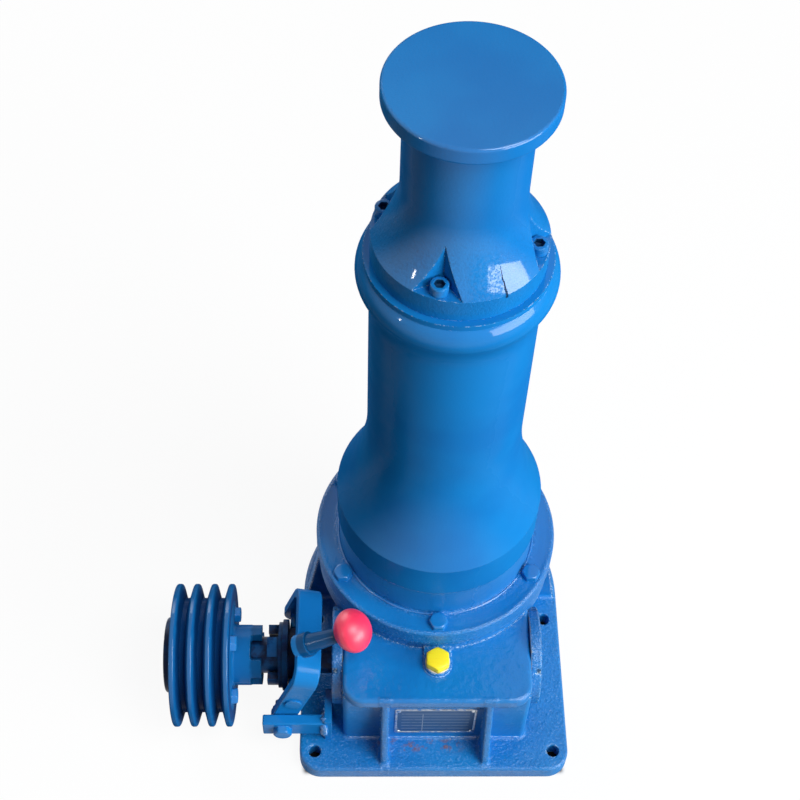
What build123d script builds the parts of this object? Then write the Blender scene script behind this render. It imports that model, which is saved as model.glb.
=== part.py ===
from build123d import *
import os
from math import acos, cos, pi, radians, sin, sqrt, tan

# Belt-driven vertical capstan winch on a worm gear case. Sizes are in millimetres and degrees.
# The capstan axis is Z, the base stands on Z = 0 and the front with the nameplate faces -Y.
# The worm shaft lies along X in front of the capstan axis, with the belt pulley at its left end.

os.makedirs("parts", exist_ok=True)

# Fits and clearances, the first three measured on the radius
seat_gap = 0.02
run_gap = 0.05
bolt_gap = 0.5
end_gap = 0.5
gasket = 1.0

# Worm gear set
module = 5
wheel_teeth = 34
worm_pitch_d = 60
pressure_angle = 20
root_ratio = 1.2
flank_gap = 0.4
thread_turns = 4.5
wheel_face = 40

# Base plate
base_width = 300
base_thickness = 20
base_apron = 39
base_corner = 24
base_edge = 3
mount_hole = 14
mount_edge = 17
mount_setback = 22
mount_reach = 163

# Gear case with the worm box and its deck
axis_height = 88
box_width = 203
roof = 7
deck_thickness = 14
deck_overhang = 9
deck_corner = 22
deck_edge = 4
box_corner = 6
casting_fillet = 4
front_margin = 15
case_wall = 16
tip_room = 6
boss_rise = 14
boss_inset = 2
rib_spread = 112
rib_thickness = 8
rib_foot = 33
rib_edge = 2.5
gusset_thickness = 12
gusset_margin = 4
pocket_depth = 6

# Bearings and seals: bore, outer diameter, width
lower_bearing = (45, 85, 19)
upper_bearing = (60, 110, 22)
worm_bearing = (40, 80, 18)
main_seal_size = (64, 85, 12)
worm_seal_size = (40, 55, 8)
shield_depth = 0.8

# Round cover over the gear wheel
flange_reach = 36
flange_thickness = 22
collar_d = 212
collar_height = 46
collar_wall = 20
collar_plate = 14
collar_foot = 2.5
cover_edge = 3
register_depth = 5
bearing_lip = 6
bearing_hub_wall = 12
cover_bolt_reach = 22
cover_bolt_count = 6
cover_bolt_length = 44

# Rope drum
drum_gap = 2
drum_height = 420
rim_d = 216
rim_height = 45
waist_d = 154
waist_height = 177
bulge_d = 179
bulge_drop = 22
bulge_tube = 23
bulge_fillet = 66
lip_d = 165.6
drum_wall = 11
drum_hub_d = 92
drum_hub_length = 90
drum_hub_lift = 2
web_height = 42
web_thickness = 18
core_hole = 28
core_hole_count = 4
top_plate = 28

# Warping head
head_height = 192
foot_d = 153.2
foot_height = 24
neck_d = 106
neck_height = 86
disc_d = 141
disc_thickness = 16
disc_edge = 2.5
neck_fillet = 6
head_bore = 84
head_roof = 32
spigot_d = 100
spigot_length = 4.5
head_screw_circle = 135
head_screw_count = 4
head_screw_turn = -107
head_screw_length = 46
notch_apex_r = 55
notch_half_width = 25.3
notch_rise = 60

# Capstan shaft and the gear wheel on it
wheel_seat_d = 55
drum_seat_d = 58
mast_d = 50
mast_thread_d = 42
wheel_hub_d = 84
wheel_hub_length = 44
wheel_disc_d = 148
wheel_disc_thickness = 12
wheel_disc_rise = 6
rim_bore = 120
rim_bolt_circle = 132
rim_bolt_count = 6
rim_bolt_length = 26
lower_spacer_d = 62
upper_spacer_d = 72
nut_flats = 65
nut_height = 20
drum_washer_d = 80
drum_washer_thickness = 6

# Keys: width, height, part of the height that stands out of the shaft
wheel_key_size = (16, 10, 4)
sleeve_key_size = (12, 8, 3)
key_end = 4
key_roof = 0.3

# Worm covers on the two side walls
worm_cover_d = 106
worm_cover_thickness = 11
bearing_inset = 5.5
spigot_bore = 64
worm_screw_circle = 95
worm_screw_count = 4
worm_screw_length = 18

# Jaw clutch, from the case outwards
shift_reach = 42
groove_width = 13
groove_d = 58
sleeve_flange_d = 78
sleeve_flange = 8
sleeve_collar = 6
sleeve_shoulder = 4.5
sleeve_shoulder_d = 72
jaw_count = 4
jaw_angle = 39
jaw_length = 12
jaw_outer_d = 66
jaw_inner_d = 46
jaw_gap = 6.5
jaw_end_room = 1
jaw_root = 3
hub_foot = 3
hub_neck = 20
hub_flange = 8
hub_flange_d = 112
hub_bolt_circle = 92
hub_bolt_count = 4
hub_bolt_length = 24
hub_jaw_turn = -35

# V-belt pulley
pulley_d = 156
groove_pitch = 19
groove_count = 3
pulley_side = 12.5
groove_top = 14.5
groove_bottom = 5
groove_depth = 15.5
crest_round = 1.6
pulley_seat_d = 36
bush_d = 50
bush_length = 20
cap_recess_d = 61
cap_recess_depth = 10
cap_d = 82
cap_thickness = 10
cap_wall = 4
cap_screw_circle = 72
cap_screw_count = 3
cap_screw_length = 16
washer_d = 54
washer_thickness = 5
end_bolt_length = 30

# Shift yoke and its handle
lever_lean = 17.5
pivot_height = 48.5
yoke_width = 27
yoke_thickness = 10
yoke_half_span = 58
yoke_rise = 60.6
yoke_corner = 20
yoke_foot = 14
rear_leg_drop = 12.4
yoke_end_round = 13.4
yoke_edge = 1.5
yoke_pin_d = 12
pin_head_d = 18
pin_head = 2
pin_room = 2
handle_lean = 56.5
handle_x = -18
handle_offset = -8
handle_boss_d = 26
handle_boss_back = 6
handle_boss_front = 10
rod_root_d = 21
rod_tip_d = 15
rod_length = 38
rod_spigot_d = 12
rod_spigot = 8
knob_d = 47
knob_length = 39
knob_flat = 2.5
knob_side_r = 14
stud_length = 18

# Bracket and pivot bolt of the yoke
bracket_thickness = 12
bracket_bar_height = 27
bracket_overhang = 22
bracket_gap = 1
bracket_edge = 1.5
foot_plate_thickness = 8
foot_plate_depth = 40
foot_plate_height = 46
foot_plate_room = 0.5
pivot_bolt_d = 12
pivot_washer_d = 24
pivot_washer_thickness = 1.5

# Filler plug and nameplate
filler_margin = 16.5
filler_boss_d = 29
filler_boss_rise = 5
filler_hole_d = 20
filler_depth = 34
filler_washer_d = 27
filler_washer_thickness = 1.5
plug_flats = 24
plug_height = 10
plug_stem = 16
nameplate_width = 89
nameplate_height = 62
nameplate_thickness = 1
nameplate_centre = 65
nameplate_corner = 2
rivet_inset = 4
rivet_d = 3
rivet_head_d = 5
rivet_head = 1
rivet_length = 6

# Bolts and screws: thread diameter, head across flats or head diameter, head height
hex_m12 = (12, 18, 7.5)
hex_m10 = (10, 16, 6.4)
hex_m8 = (8, 13, 5.3)
cap_m10 = (10, 16, 10)
cap_m6 = (6, 10, 6)
cap_m4 = (4, 7, 4)
socket_ratio = 0.5
head_chamfer = 1.2
head_taper = 45
bore_room = 0.3

# Places worked out from the sizes above
half_base = base_width / 2
half_box = box_width / 2
thread_pitch = pi * module
wheel_r = module * wheel_teeth / 2
worm_r = worm_pitch_d / 2
worm_root_d = worm_pitch_d - 2 * root_ratio * module
centre_distance = wheel_r + worm_r
cavity_r = wheel_r + module + tip_room
case_r = cavity_r + case_wall
flange_d = 2 * (cavity_r + flange_reach)
cover_bolt_circle = 2 * (cavity_r + cover_bolt_reach)
filler_reach = flange_d / 2 + filler_margin
boss_r = flange_d / 2 - boss_inset
deck_top = axis_height + worm_bearing[1] / 2 + roof
deck_under = deck_top - deck_thickness
joint_height = deck_top + boss_rise
wall_front = centre_distance + worm_cover_d / 2 + front_margin
deck_front = wall_front + deck_overhang
base_front = wall_front + base_apron
mount_x = half_base - mount_edge
mount_front = base_front - mount_setback
mount_points = [(x, y) for x in (-mount_x, mount_x) for y in (-mount_front, mount_reach - mount_front)]
lower_bearing_z = base_thickness - pocket_depth
cavity_floor = lower_bearing_z + lower_bearing[2]
cover_bottom = joint_height + gasket
flange_top = cover_bottom + flange_thickness
collar_top = flange_top + collar_height
seal_z = collar_top - main_seal_size[2]
upper_bearing_top = seal_z - bearing_lip
upper_bearing_z = upper_bearing_top - upper_bearing[2]
wheel_hub_z = axis_height - wheel_hub_length / 2
wheel_hub_top = wheel_hub_z + wheel_hub_length
drum_z = collar_top + drum_gap
drum_hub_z = drum_z + drum_hub_lift
drum_top = drum_z + drum_height
recess_floor = drum_top - spigot_length - end_gap
foot_top = drum_top + foot_height
head_top = drum_top + head_height
wall_gasket_x = half_box + gasket
cover_face_x = wall_gasket_x + worm_cover_thickness
shift_x = -cover_face_x - shift_reach
bearing_out_x = half_box - bearing_inset
bearing_in_x = bearing_out_x - worm_bearing[2]
sleeve_right = shift_x + groove_width / 2 + sleeve_flange
sleeve_root = shift_x - groove_width / 2 - sleeve_collar - sleeve_shoulder
hub_jaw_tip = sleeve_root - jaw_length - jaw_gap
hub_root = hub_jaw_tip - jaw_length
clutch_travel = jaw_gap + jaw_length - jaw_end_room
pulley_right = hub_root - hub_neck
pulley_width = (groove_count - 1) * groove_pitch + 2 * pulley_side
pulley_left = pulley_right - pulley_width
flange_seat = pulley_right - hub_flange
bush_left = pulley_left + cap_recess_depth
shaft_end = bush_left - end_gap
lean = radians(lever_lean)
pin_reach = (axis_height - pivot_height) / cos(lean)
yoke_top = pin_reach + yoke_rise
yoke_rear_end = pin_reach - rear_leg_drop
pivot_x = shift_x - pin_reach * sin(lean)
pivot_y = yoke_thickness / 2 - yoke_half_span - centre_distance
leg_front = centre_distance + yoke_half_span
bar_back = leg_front + bracket_gap
bar_front = bar_back + bracket_thickness
foot_plate_x = -(cover_face_x + foot_plate_room)

worm_axis = Axis((0, -centre_distance, axis_height), (1, 0, 0))
worm_section = Plane(origin=(0, -centre_distance, axis_height), x_dir=(1, 0, 0), z_dir=(0, -1, 0))
yoke_plane = Plane(
    origin=(pivot_x, -centre_distance, pivot_height),
    x_dir=(0, 1, 0),
    z_dir=(cos(lean), 0, -sin(lean)),
)
handle_dir = Vector(sin(radians(handle_lean)), 0, cos(radians(handle_lean)))
handle_root = yoke_plane.from_local_coords(Vector(handle_x, yoke_top, handle_offset))
rod_start = handle_boss_front
rod_end = rod_start + rod_length
knob_centre = handle_root + handle_dir * (rod_end + knob_length / 2 - knob_flat)
front_wall = Plane.XZ.offset(wall_front)


def level(height):
    """Horizontal plane at a height."""
    return Plane.XY.offset(height)


def across(x, side=1):
    """Plane square to the worm axis at x, facing right for side 1 and left for side -1."""
    return Plane(origin=(x, -centre_distance, axis_height), x_dir=(0, side, 0), z_dir=(side, 0, 0))


def facing_front(x, y, z, side=-1):
    """Plane square to Y through a point, facing the front for side -1 and the back for side 1."""
    return Plane(origin=(x, y, z), x_dir=(1, 0, 0), z_dir=(0, side, 0))


def along_handle(distance):
    """Plane square to the handle at a distance from the place where it leaves the yoke."""
    return Plane(origin=handle_root + handle_dir * distance, x_dir=(0, 1, 0), z_dir=handle_dir)


def on_circle(diameter, count, start=0):
    """Evenly spaced points on a circle, the first at the start angle."""
    angles = [radians(start + 360 / count * index) for index in range(count)]
    return [(diameter / 2 * cos(angle), diameter / 2 * sin(angle)) for angle in angles]


def turned(outline, plane=Plane.XZ, axis=Axis.Z, mode=Mode.ADD):
    """Revolve a closed outline, given as points in the plane, about an axis."""
    with BuildSketch(plane) as section:
        with BuildLine():
            Polyline(*outline, close=True)
        make_face()
    revolve(section.sketch, axis=axis, mode=mode)


def stack(plane, discs):
    """Add a row of coaxial discs along the plane's normal, each given as length and diameter."""
    for length, diameter in discs:
        with BuildSketch(plane) as disc:
            Circle(diameter / 2)
        extrude(disc.sketch, amount=length)
        plane = plane.offset(length)


def rounds(plane, places, diameter, length, mode=Mode.ADD):
    """Add pegs, or cut holes, of one diameter at places on a plane."""
    with BuildSketch(plane) as circles:
        with Locations(*places):
            Circle(diameter / 2)
    extrude(circles.sketch, amount=length, mode=mode)


def tube(plane, inner_d, outer_d, length):
    """Add a ring of rectangular section."""
    with BuildSketch(plane) as ring:
        Circle(outer_d / 2)
        Circle(inner_d / 2, mode=Mode.SUBTRACT)
    extrude(ring.sketch, amount=length)


def hex_heads(plane, places, flats, height, corner_angle=0):
    """Add hexagon heads whose outer edges are bevelled."""
    bevelled = ((0, height - head_chamfer, 0), (height - head_chamfer, head_chamfer, head_taper))
    for start, length, taper in bevelled:
        with BuildSketch(plane.offset(start)) as heads:
            with Locations(*places):
                RegularPolygon(flats / 2, 6, major_radius=False, rotation=corner_angle)
        extrude(heads.sketch, amount=length, taper=taper)


def hex_bolts(plane, places, size, length):
    """Add hexagon bolts that stand on a plane, with plain shanks below it."""
    thread, flats, height = size
    rounds(plane, places, thread, -length)
    hex_heads(plane, places, flats, height)


def socket_screws(plane, places, size, length):
    """Add cylinder-head screws that stand on a plane, each with a hexagon socket."""
    thread, head_d, height = size
    rounds(plane, places, thread, -length)
    rounds(plane, places, head_d, height)
    with BuildSketch(plane.offset(height)) as sockets:
        with Locations(*places):
            RegularPolygon(head_d * socket_ratio / 2, 6, major_radius=False)
    extrude(sockets.sketch, amount=-height / 2, mode=Mode.SUBTRACT)


def tapped(plane, places, size, depth):
    """Cut the holes that hold the shanks of screws of a size."""
    rounds(plane, places, size[0] + 2 * seat_gap, -depth, Mode.SUBTRACT)


def cleared(plane, places, size, depth):
    """Cut the wider holes that the shanks of screws of a size pass through."""
    rounds(plane, places, size[0] + 2 * bolt_gap, -depth, Mode.SUBTRACT)


def ball_bearing(plane, size):
    """Add a closed ball bearing: two rings with a set-back shield between them."""
    bore, outer, width = size
    tube(plane, bore + 2 * seat_gap, outer, width)
    ring_wall = (outer - bore) / 6
    for face in (plane, plane.offset(width - shield_depth)):
        with BuildSketch(face) as shield:
            Circle(outer / 2 - ring_wall)
            Circle(bore / 2 + ring_wall, mode=Mode.SUBTRACT)
        extrude(shield.sketch, amount=shield_depth, mode=Mode.SUBTRACT)


def jaws(plane, turn):
    """Add the ring of clutch jaws with rounded roots, one of them at the turn angle."""
    edge = jaw_outer_d * tan(radians(jaw_angle / 2))
    with BuildSketch(plane) as teeth:
        with PolarLocations(0, jaw_count, turn):
            Polygon((0, 0), (jaw_outer_d, -edge), (jaw_outer_d, edge), align=None)
        Circle(jaw_outer_d / 2, mode=Mode.INTERSECT)
        Circle(jaw_inner_d / 2, mode=Mode.SUBTRACT)
    extrude(teeth.sketch, amount=jaw_length)
    on_root = edges().filter_by(GeomType.LINE).filter_by_position(Axis.X, plane.origin.X, plane.origin.X)
    fillet(on_root, jaw_root)


def key_slot(plane, shaft_d, size, length, grow, sides=(1,), mode=Mode.SUBTRACT):
    """Cut, or add, the space of keys that lie along a shaft at its +Y or -Y side."""
    width, height, proud = size
    with BuildSketch(plane) as slots:
        with Locations(*[(0, side * (shaft_d / 2 + proud - height / 2)) for side in sides]):
            Rectangle(width + 2 * grow, height + 2 * grow)
    extrude(slots.sketch, amount=length, mode=mode)


cover_bolts_at = on_circle(cover_bolt_circle, cover_bolt_count, -90)
worm_screws_at = on_circle(worm_screw_circle, worm_screw_count, 45)
rim_bolts_at = on_circle(rim_bolt_circle, rim_bolt_count)
head_screws_at = on_circle(head_screw_circle, head_screw_count, head_screw_turn)
hub_bolts_at = on_circle(hub_bolt_circle, hub_bolt_count, 45 + hub_jaw_turn)
cap_screws_at = on_circle(cap_screw_circle, cap_screw_count, 90)
filler_at = [(0, -filler_reach)]
rivet_x = nameplate_width / 2 - rivet_inset
rivet_z = nameplate_height / 2 - rivet_inset
rivets_at = [(x, nameplate_centre + z) for x in (-rivet_x, rivet_x) for z in (-rivet_z, rivet_z)]

# Gear case: one casting with the base plate, the round wheel case, the worm box and its deck
with BuildPart() as gearbox_housing:
    with BuildSketch() as plate_outline:
        with BuildLine():
            back = ThreePointArc((half_base, 0), (0, half_base), (-half_base, 0))
            Polyline(back @ 1, (-half_base, -base_front), (half_base, -base_front), back @ 0)
        make_face()
        fillet(plate_outline.vertices().group_by(Axis.Y)[0], base_corner)
        with Locations(*mount_points):
            Circle(mount_hole / 2, mode=Mode.SUBTRACT)
    extrude(amount=base_thickness)
    fillet(faces().sort_by(Axis.Z)[-1].outer_wire().edges(), base_edge)

    with BuildSketch(level(base_thickness)) as box_outline:
        with Locations((0, -wall_front / 2)):
            Rectangle(box_width, wall_front)
        fillet(box_outline.vertices().group_by(Axis.Y)[0], box_corner)
    extrude(amount=deck_under - base_thickness)
    with BuildSketch(level(deck_under)) as deck_outline:
        with Locations((0, -deck_front / 2)):
            Rectangle(box_width, deck_front)
        fillet(deck_outline.vertices().group_by(Axis.Y)[0], deck_corner)
    extrude(amount=deck_thickness)
    fillet(faces().sort_by(Axis.Z)[-1].outer_wire().edges(), deck_edge)

    stack(level(base_thickness), [(joint_height - base_thickness, 2 * case_r)])
    stack(level(deck_under), [(joint_height - deck_under, 2 * boss_r)])
    rounds(level(deck_top), filler_at, filler_boss_d, filler_boss_rise)
    with BuildSketch(level(deck_top)):
        with Locations(*filler_at):
            Rectangle(filler_boss_d, filler_reach - cavity_r, align=(Align.CENTER, Align.MIN))
    extrude(amount=filler_boss_rise)

    for side in (-1, 1):
        with BuildSketch(Plane.YZ.offset(side * rib_spread / 2)):
            with BuildLine():
                Polyline(
                    (-wall_front, base_thickness),
                    (-wall_front - rib_foot, base_thickness),
                    (-deck_front, deck_under),
                    (-wall_front, deck_under),
                    close=True,
                )
            make_face()
        extrude(amount=rib_thickness / 2, both=True)
        with BuildSketch(Plane.XZ):
            with BuildLine():
                Polyline(
                    (side * cavity_r, base_thickness),
                    (side * (half_base - gusset_margin), base_thickness),
                    (side * boss_r, deck_under),
                    (side * cavity_r, deck_under),
                    close=True,
                )
            make_face()
        extrude(amount=gusset_thickness / 2, both=True)

    rib_slope = Axis((0, 0, 0), (0, wall_front + rib_foot - deck_front, deck_under - base_thickness))
    fillet(edges().filter_by(rib_slope), rib_edge)
    plate_top = faces().filter_by_position(Axis.Z, base_thickness, base_thickness).sort_by(SortBy.AREA)[-1]
    foot_line = plate_top.inner_wires().sort_by(SortBy.LENGTH)[-1].edges()
    toes = foot_line.filter_by_position(Axis.Y, -wall_front - rib_foot, -wall_front - rib_foot)
    for toe_x in (gusset_margin - half_base, half_base - gusset_margin):
        toes += foot_line.filter_by_position(Axis.X, toe_x, toe_x)
    fillet(foot_line - toes, casting_fillet)

    rounds(level(joint_height), [(0, 0)], 2 * cavity_r, cavity_floor - joint_height, Mode.SUBTRACT)
    lower_pocket_d = lower_bearing[1] + 2 * seat_gap
    rounds(level(cavity_floor), [(0, 0)], lower_pocket_d, -lower_bearing[2], Mode.SUBTRACT)
    rounds(across(-half_box), [(0, 0)], worm_bearing[1] + 2 * seat_gap, box_width, Mode.SUBTRACT)
    tapped(level(joint_height), cover_bolts_at, hex_m12, cover_bolt_length - flange_thickness)
    for side in (-1, 1):
        side_wall = across(side * half_box, side)
        rounds(side_wall, [(0, 0)], worm_cover_d + 2 * bolt_gap, half_base - half_box, Mode.SUBTRACT)
        tapped(side_wall, worm_screws_at, cap_m6, worm_screw_length)
    rounds(level(deck_top + filler_boss_rise), filler_at, filler_hole_d, -filler_depth, Mode.SUBTRACT)
    rounds(front_wall, rivets_at, rivet_d + 2 * seat_gap, -rivet_length, Mode.SUBTRACT)
gearbox_housing.part.label = "gearbox_housing"
export_step(gearbox_housing.part, "parts/gearbox_housing.step")

with BuildPart() as cover_gasket:
    tube(level(joint_height), 2 * cavity_r, 2 * boss_r, gasket)
    cleared(level(cover_bottom), cover_bolts_at, hex_m12, gasket)
cover_gasket.part.label = "cover_gasket"
export_step(cover_gasket.part, "parts/cover_gasket.step")

# Round cover: bolted flange and a hollow collar that holds the upper bearing and its seal
with BuildPart() as top_cover:
    hollow_r = collar_d / 2 - collar_wall
    register_r = cavity_r - seat_gap
    register_z = joint_height - register_depth
    hub_r = upper_bearing[1] / 2 + bearing_hub_wall
    bearing_r = upper_bearing[1] / 2 + seat_gap
    seal_r = main_seal_size[1] / 2 + seat_gap
    lip_r = upper_bearing[1] / 2 - bearing_hub_wall
    turned(
        [
            (hollow_r, register_z),
            (register_r, register_z),
            (register_r, cover_bottom),
            (flange_d / 2, cover_bottom),
            (flange_d / 2, flange_top),
            (collar_d / 2, flange_top),
            (collar_d / 2, collar_top),
            (seal_r, collar_top),
            (seal_r, seal_z),
            (lip_r, seal_z),
            (lip_r, upper_bearing_top),
            (bearing_r, upper_bearing_top),
            (bearing_r, upper_bearing_z),
            (hub_r, upper_bearing_z),
            (hub_r, collar_top - collar_plate),
            (hollow_r, collar_top - collar_plate),
        ]
    )
    rings = edges().filter_by(GeomType.CIRCLE)
    at_flange_top = rings.filter_by_position(Axis.Z, flange_top, flange_top)
    fillet(at_flange_top.sort_by(SortBy.RADIUS)[0], collar_foot)
    rings = edges().filter_by(GeomType.CIRCLE)
    fillet(rings.filter_by_position(Axis.Z, flange_top, flange_top).sort_by(SortBy.RADIUS)[-1], cover_edge)
    rings = edges().filter_by(GeomType.CIRCLE)
    fillet(rings.filter_by_position(Axis.Z, collar_top, collar_top).sort_by(SortBy.RADIUS)[-1], cover_edge)
    cleared(level(flange_top), cover_bolts_at, hex_m12, flange_thickness)
top_cover.part.label = "top_cover"
export_step(top_cover.part, "parts/top_cover.step")

with BuildPart() as cover_bolts:
    hex_bolts(level(flange_top), cover_bolts_at, hex_m12, cover_bolt_length)
cover_bolts.part.label = "cover_bolts"
export_step(cover_bolts.part, "parts/cover_bolts.step")

with BuildPart() as main_bearing_lower:
    ball_bearing(level(lower_bearing_z), lower_bearing)
main_bearing_lower.part.label = "main_bearing_lower"
export_step(main_bearing_lower.part, "parts/main_bearing_lower.step")

with BuildPart() as main_bearing_upper:
    ball_bearing(level(upper_bearing_z), upper_bearing)
main_bearing_upper.part.label = "main_bearing_upper"
export_step(main_bearing_upper.part, "parts/main_bearing_upper.step")

with BuildPart() as main_seal:
    tube(level(seal_z), main_seal_size[0] + 2 * run_gap, main_seal_size[1], main_seal_size[2])
main_seal.part.label = "main_seal"
export_step(main_seal.part, "parts/main_seal.step")

# Worm bearings with their covers on the two side walls, the left one open for the shaft
with BuildPart() as worm_bearing_left:
    ball_bearing(across(-bearing_in_x, -1), worm_bearing)
worm_bearing_left.part.label = "worm_bearing_left"
export_step(worm_bearing_left.part, "parts/worm_bearing_left.step")

with BuildPart() as worm_bearing_right:
    ball_bearing(across(bearing_in_x), worm_bearing)
worm_bearing_right.part.label = "worm_bearing_right"
export_step(worm_bearing_right.part, "parts/worm_bearing_right.step")

with BuildPart() as worm_cover_gaskets:
    for side in (-1, 1):
        tube(across(side * half_box, side), worm_bearing[1], worm_cover_d, gasket)
        cleared(across(side * wall_gasket_x, side), worm_screws_at, cap_m6, gasket)
worm_cover_gaskets.part.label = "worm_cover_gaskets"
export_step(worm_cover_gaskets.part, "parts/worm_cover_gaskets.step")


def worm_cover(side):
    """Add a bearing cover with its spigot and the counterbored holes of its screws."""
    face = across(side * cover_face_x, side)
    stack(across(side * wall_gasket_x, side), [(worm_cover_thickness, worm_cover_d)])
    outer_face = faces().sort_by(Axis((0, 0, 0), (side, 0, 0)))[-1]
    chamfer(outer_face.edges(), head_chamfer)
    tube(across(side * bearing_out_x, side), spigot_bore, worm_bearing[1], wall_gasket_x - bearing_out_x)
    cleared(face, worm_screws_at, cap_m6, worm_cover_thickness)
    counterbore_d = cap_m6[1] + 2 * bolt_gap
    rounds(face, worm_screws_at, counterbore_d, -cap_m6[2] - bore_room, Mode.SUBTRACT)


with BuildPart() as worm_cover_right:
    worm_cover(1)
worm_cover_right.part.label = "worm_cover_right"
export_step(worm_cover_right.part, "parts/worm_cover_right.step")

with BuildPart() as worm_cover_left:
    worm_cover(-1)
    left_face = across(-cover_face_x, -1)
    passage_d = worm_bearing[0] + 2 * bolt_gap
    rounds(left_face, [(0, 0)], passage_d, -worm_cover_thickness, Mode.SUBTRACT)
    rounds(left_face, [(0, 0)], worm_seal_size[1] + 2 * seat_gap, -worm_seal_size[2], Mode.SUBTRACT)
worm_cover_left.part.label = "worm_cover_left"
export_step(worm_cover_left.part, "parts/worm_cover_left.step")

with BuildPart() as worm_cover_screws:
    for side in (-1, 1):
        seat = across(side * (cover_face_x - cap_m6[2] - bore_room), side)
        socket_screws(seat, worm_screws_at, cap_m6, worm_screw_length)
worm_cover_screws.part.label = "worm_cover_screws"
export_step(worm_cover_screws.part, "parts/worm_cover_screws.step")

with BuildPart() as worm_seal:
    seal_plane = across(-cover_face_x + worm_seal_size[2], -1)
    tube(seal_plane, worm_seal_size[0] + 2 * run_gap, worm_seal_size[1], worm_seal_size[2])
worm_seal.part.label = "worm_seal"
export_step(worm_seal.part, "parts/worm_seal.step")

# Oil filler on the deck
with BuildPart() as filler_washer:
    boss_top = level(deck_top + filler_boss_rise)
    rounds(boss_top, filler_at, filler_washer_d, filler_washer_thickness)
    rounds(boss_top, filler_at, filler_hole_d, filler_washer_thickness, Mode.SUBTRACT)
filler_washer.part.label = "filler_washer"
export_step(filler_washer.part, "parts/filler_washer.step")

with BuildPart() as oil_filler_plug:
    plug_seat = level(deck_top + filler_boss_rise + filler_washer_thickness)
    rounds(plug_seat, filler_at, filler_hole_d - 2 * seat_gap, -plug_stem)
    hex_heads(plug_seat, filler_at, plug_flats, plug_height, corner_angle=30)
oil_filler_plug.part.label = "oil_filler_plug"
export_step(oil_filler_plug.part, "parts/oil_filler_plug.step")

# Bare nameplate between the front ribs
with BuildPart() as nameplate:
    with BuildSketch(front_wall):
        with Locations((0, nameplate_centre)):
            RectangleRounded(nameplate_width, nameplate_height, nameplate_corner)
        with Locations(*rivets_at):
            Circle(rivet_d / 2 + seat_gap, mode=Mode.SUBTRACT)
    extrude(amount=nameplate_thickness)
nameplate.part.label = "nameplate"
export_step(nameplate.part, "parts/nameplate.step")

with BuildPart() as nameplate_rivets:
    plate_face = front_wall.offset(nameplate_thickness)
    rounds(plate_face, rivets_at, rivet_d, -rivet_length)
    rounds(plate_face, rivets_at, rivet_head_d, rivet_head)
nameplate_rivets.part.label = "nameplate_rivets"
export_step(nameplate_rivets.part, "parts/nameplate_rivets.step")

# Bracket of the shift yoke: a flat bar welded to a plate that stands on the base
with BuildPart() as lever_bracket:
    bar_length = foot_plate_x - pivot_x + bracket_overhang
    with BuildSketch(facing_front(foot_plate_x - bar_length / 2, -bar_back, pivot_height)):
        Rectangle(bar_length, bracket_bar_height)
    extrude(amount=bracket_thickness)
    fillet(edges(), bracket_edge)
    with BuildSketch(level(base_thickness)):
        plate_y = -bar_front + foot_plate_depth / 2
        with Locations((foot_plate_x - foot_plate_thickness / 2, plate_y)):
            Rectangle(foot_plate_thickness, foot_plate_depth)
    extrude(amount=foot_plate_height)
    fit_d = pivot_bolt_d + 2 * seat_gap
    rounds(facing_front(pivot_x, -bar_front, pivot_height), [(0, 0)], fit_d, -bracket_thickness, Mode.SUBTRACT)
lever_bracket.part.label = "lever_bracket"
export_step(lever_bracket.part, "parts/lever_bracket.step")

washer_front = -leg_front + yoke_thickness + bracket_gap
nut_front = washer_front + pivot_washer_thickness
nut_back = nut_front + hex_m12[2]
with BuildPart() as pivot_bolt:
    bolt_length = bar_front + nut_back + pivot_washer_thickness
    hex_bolts(facing_front(pivot_x, -bar_front, pivot_height), [(0, 0)], hex_m12, bolt_length)
pivot_bolt.part.label = "pivot_bolt"
export_step(pivot_bolt.part, "parts/pivot_bolt.step")

with BuildPart() as pivot_washer:
    washer_plane = facing_front(pivot_x, washer_front, pivot_height, 1)
    tube(washer_plane, pivot_bolt_d + 2 * seat_gap, pivot_washer_d, pivot_washer_thickness)
pivot_washer.part.label = "pivot_washer"
export_step(pivot_washer.part, "parts/pivot_washer.step")

with BuildPart() as pivot_nut:
    nut_plane = facing_front(pivot_x, nut_front, pivot_height, 1)
    hex_heads(nut_plane, [(0, 0)], hex_m12[1], hex_m12[2])
    rounds(nut_plane, [(0, 0)], pivot_bolt_d + 2 * seat_gap, hex_m12[2], Mode.SUBTRACT)
pivot_nut.part.label = "pivot_nut"
export_step(pivot_nut.part, "parts/pivot_nut.step")

# Capstan shaft, from the lower bearing to the nut inside the warping head
drum_hub_top = drum_hub_z + drum_hub_length
thread_start = recess_floor - end_gap
shaft_top = recess_floor + drum_washer_thickness + nut_height + head_chamfer
drum_key_length = drum_hub_length - 2 * key_end
wheel_key_length = wheel_hub_length - 2 * key_end
with BuildPart() as main_shaft:
    stack(
        level(lower_bearing_z),
        [
            (wheel_hub_z - lower_bearing_z, lower_bearing[0]),
            (upper_bearing_z - wheel_hub_z, wheel_seat_d),
            (upper_bearing[2], upper_bearing[0]),
            (drum_hub_z - upper_bearing_top, main_seal_size[0]),
            (drum_hub_length, drum_seat_d),
            (thread_start - drum_hub_top, mast_d),
            (shaft_top - thread_start, mast_thread_d),
        ],
    )
    key_slot(level(wheel_hub_z + key_end), wheel_seat_d, wheel_key_size, wheel_key_length, seat_gap)
    key_slot(level(drum_hub_z + key_end), drum_seat_d, wheel_key_size, drum_key_length, seat_gap)
    chamfer(faces().sort_by(Axis.Z)[-1].edges(), head_chamfer)
main_shaft.part.label = "main_shaft"
export_step(main_shaft.part, "parts/main_shaft.step")

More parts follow.
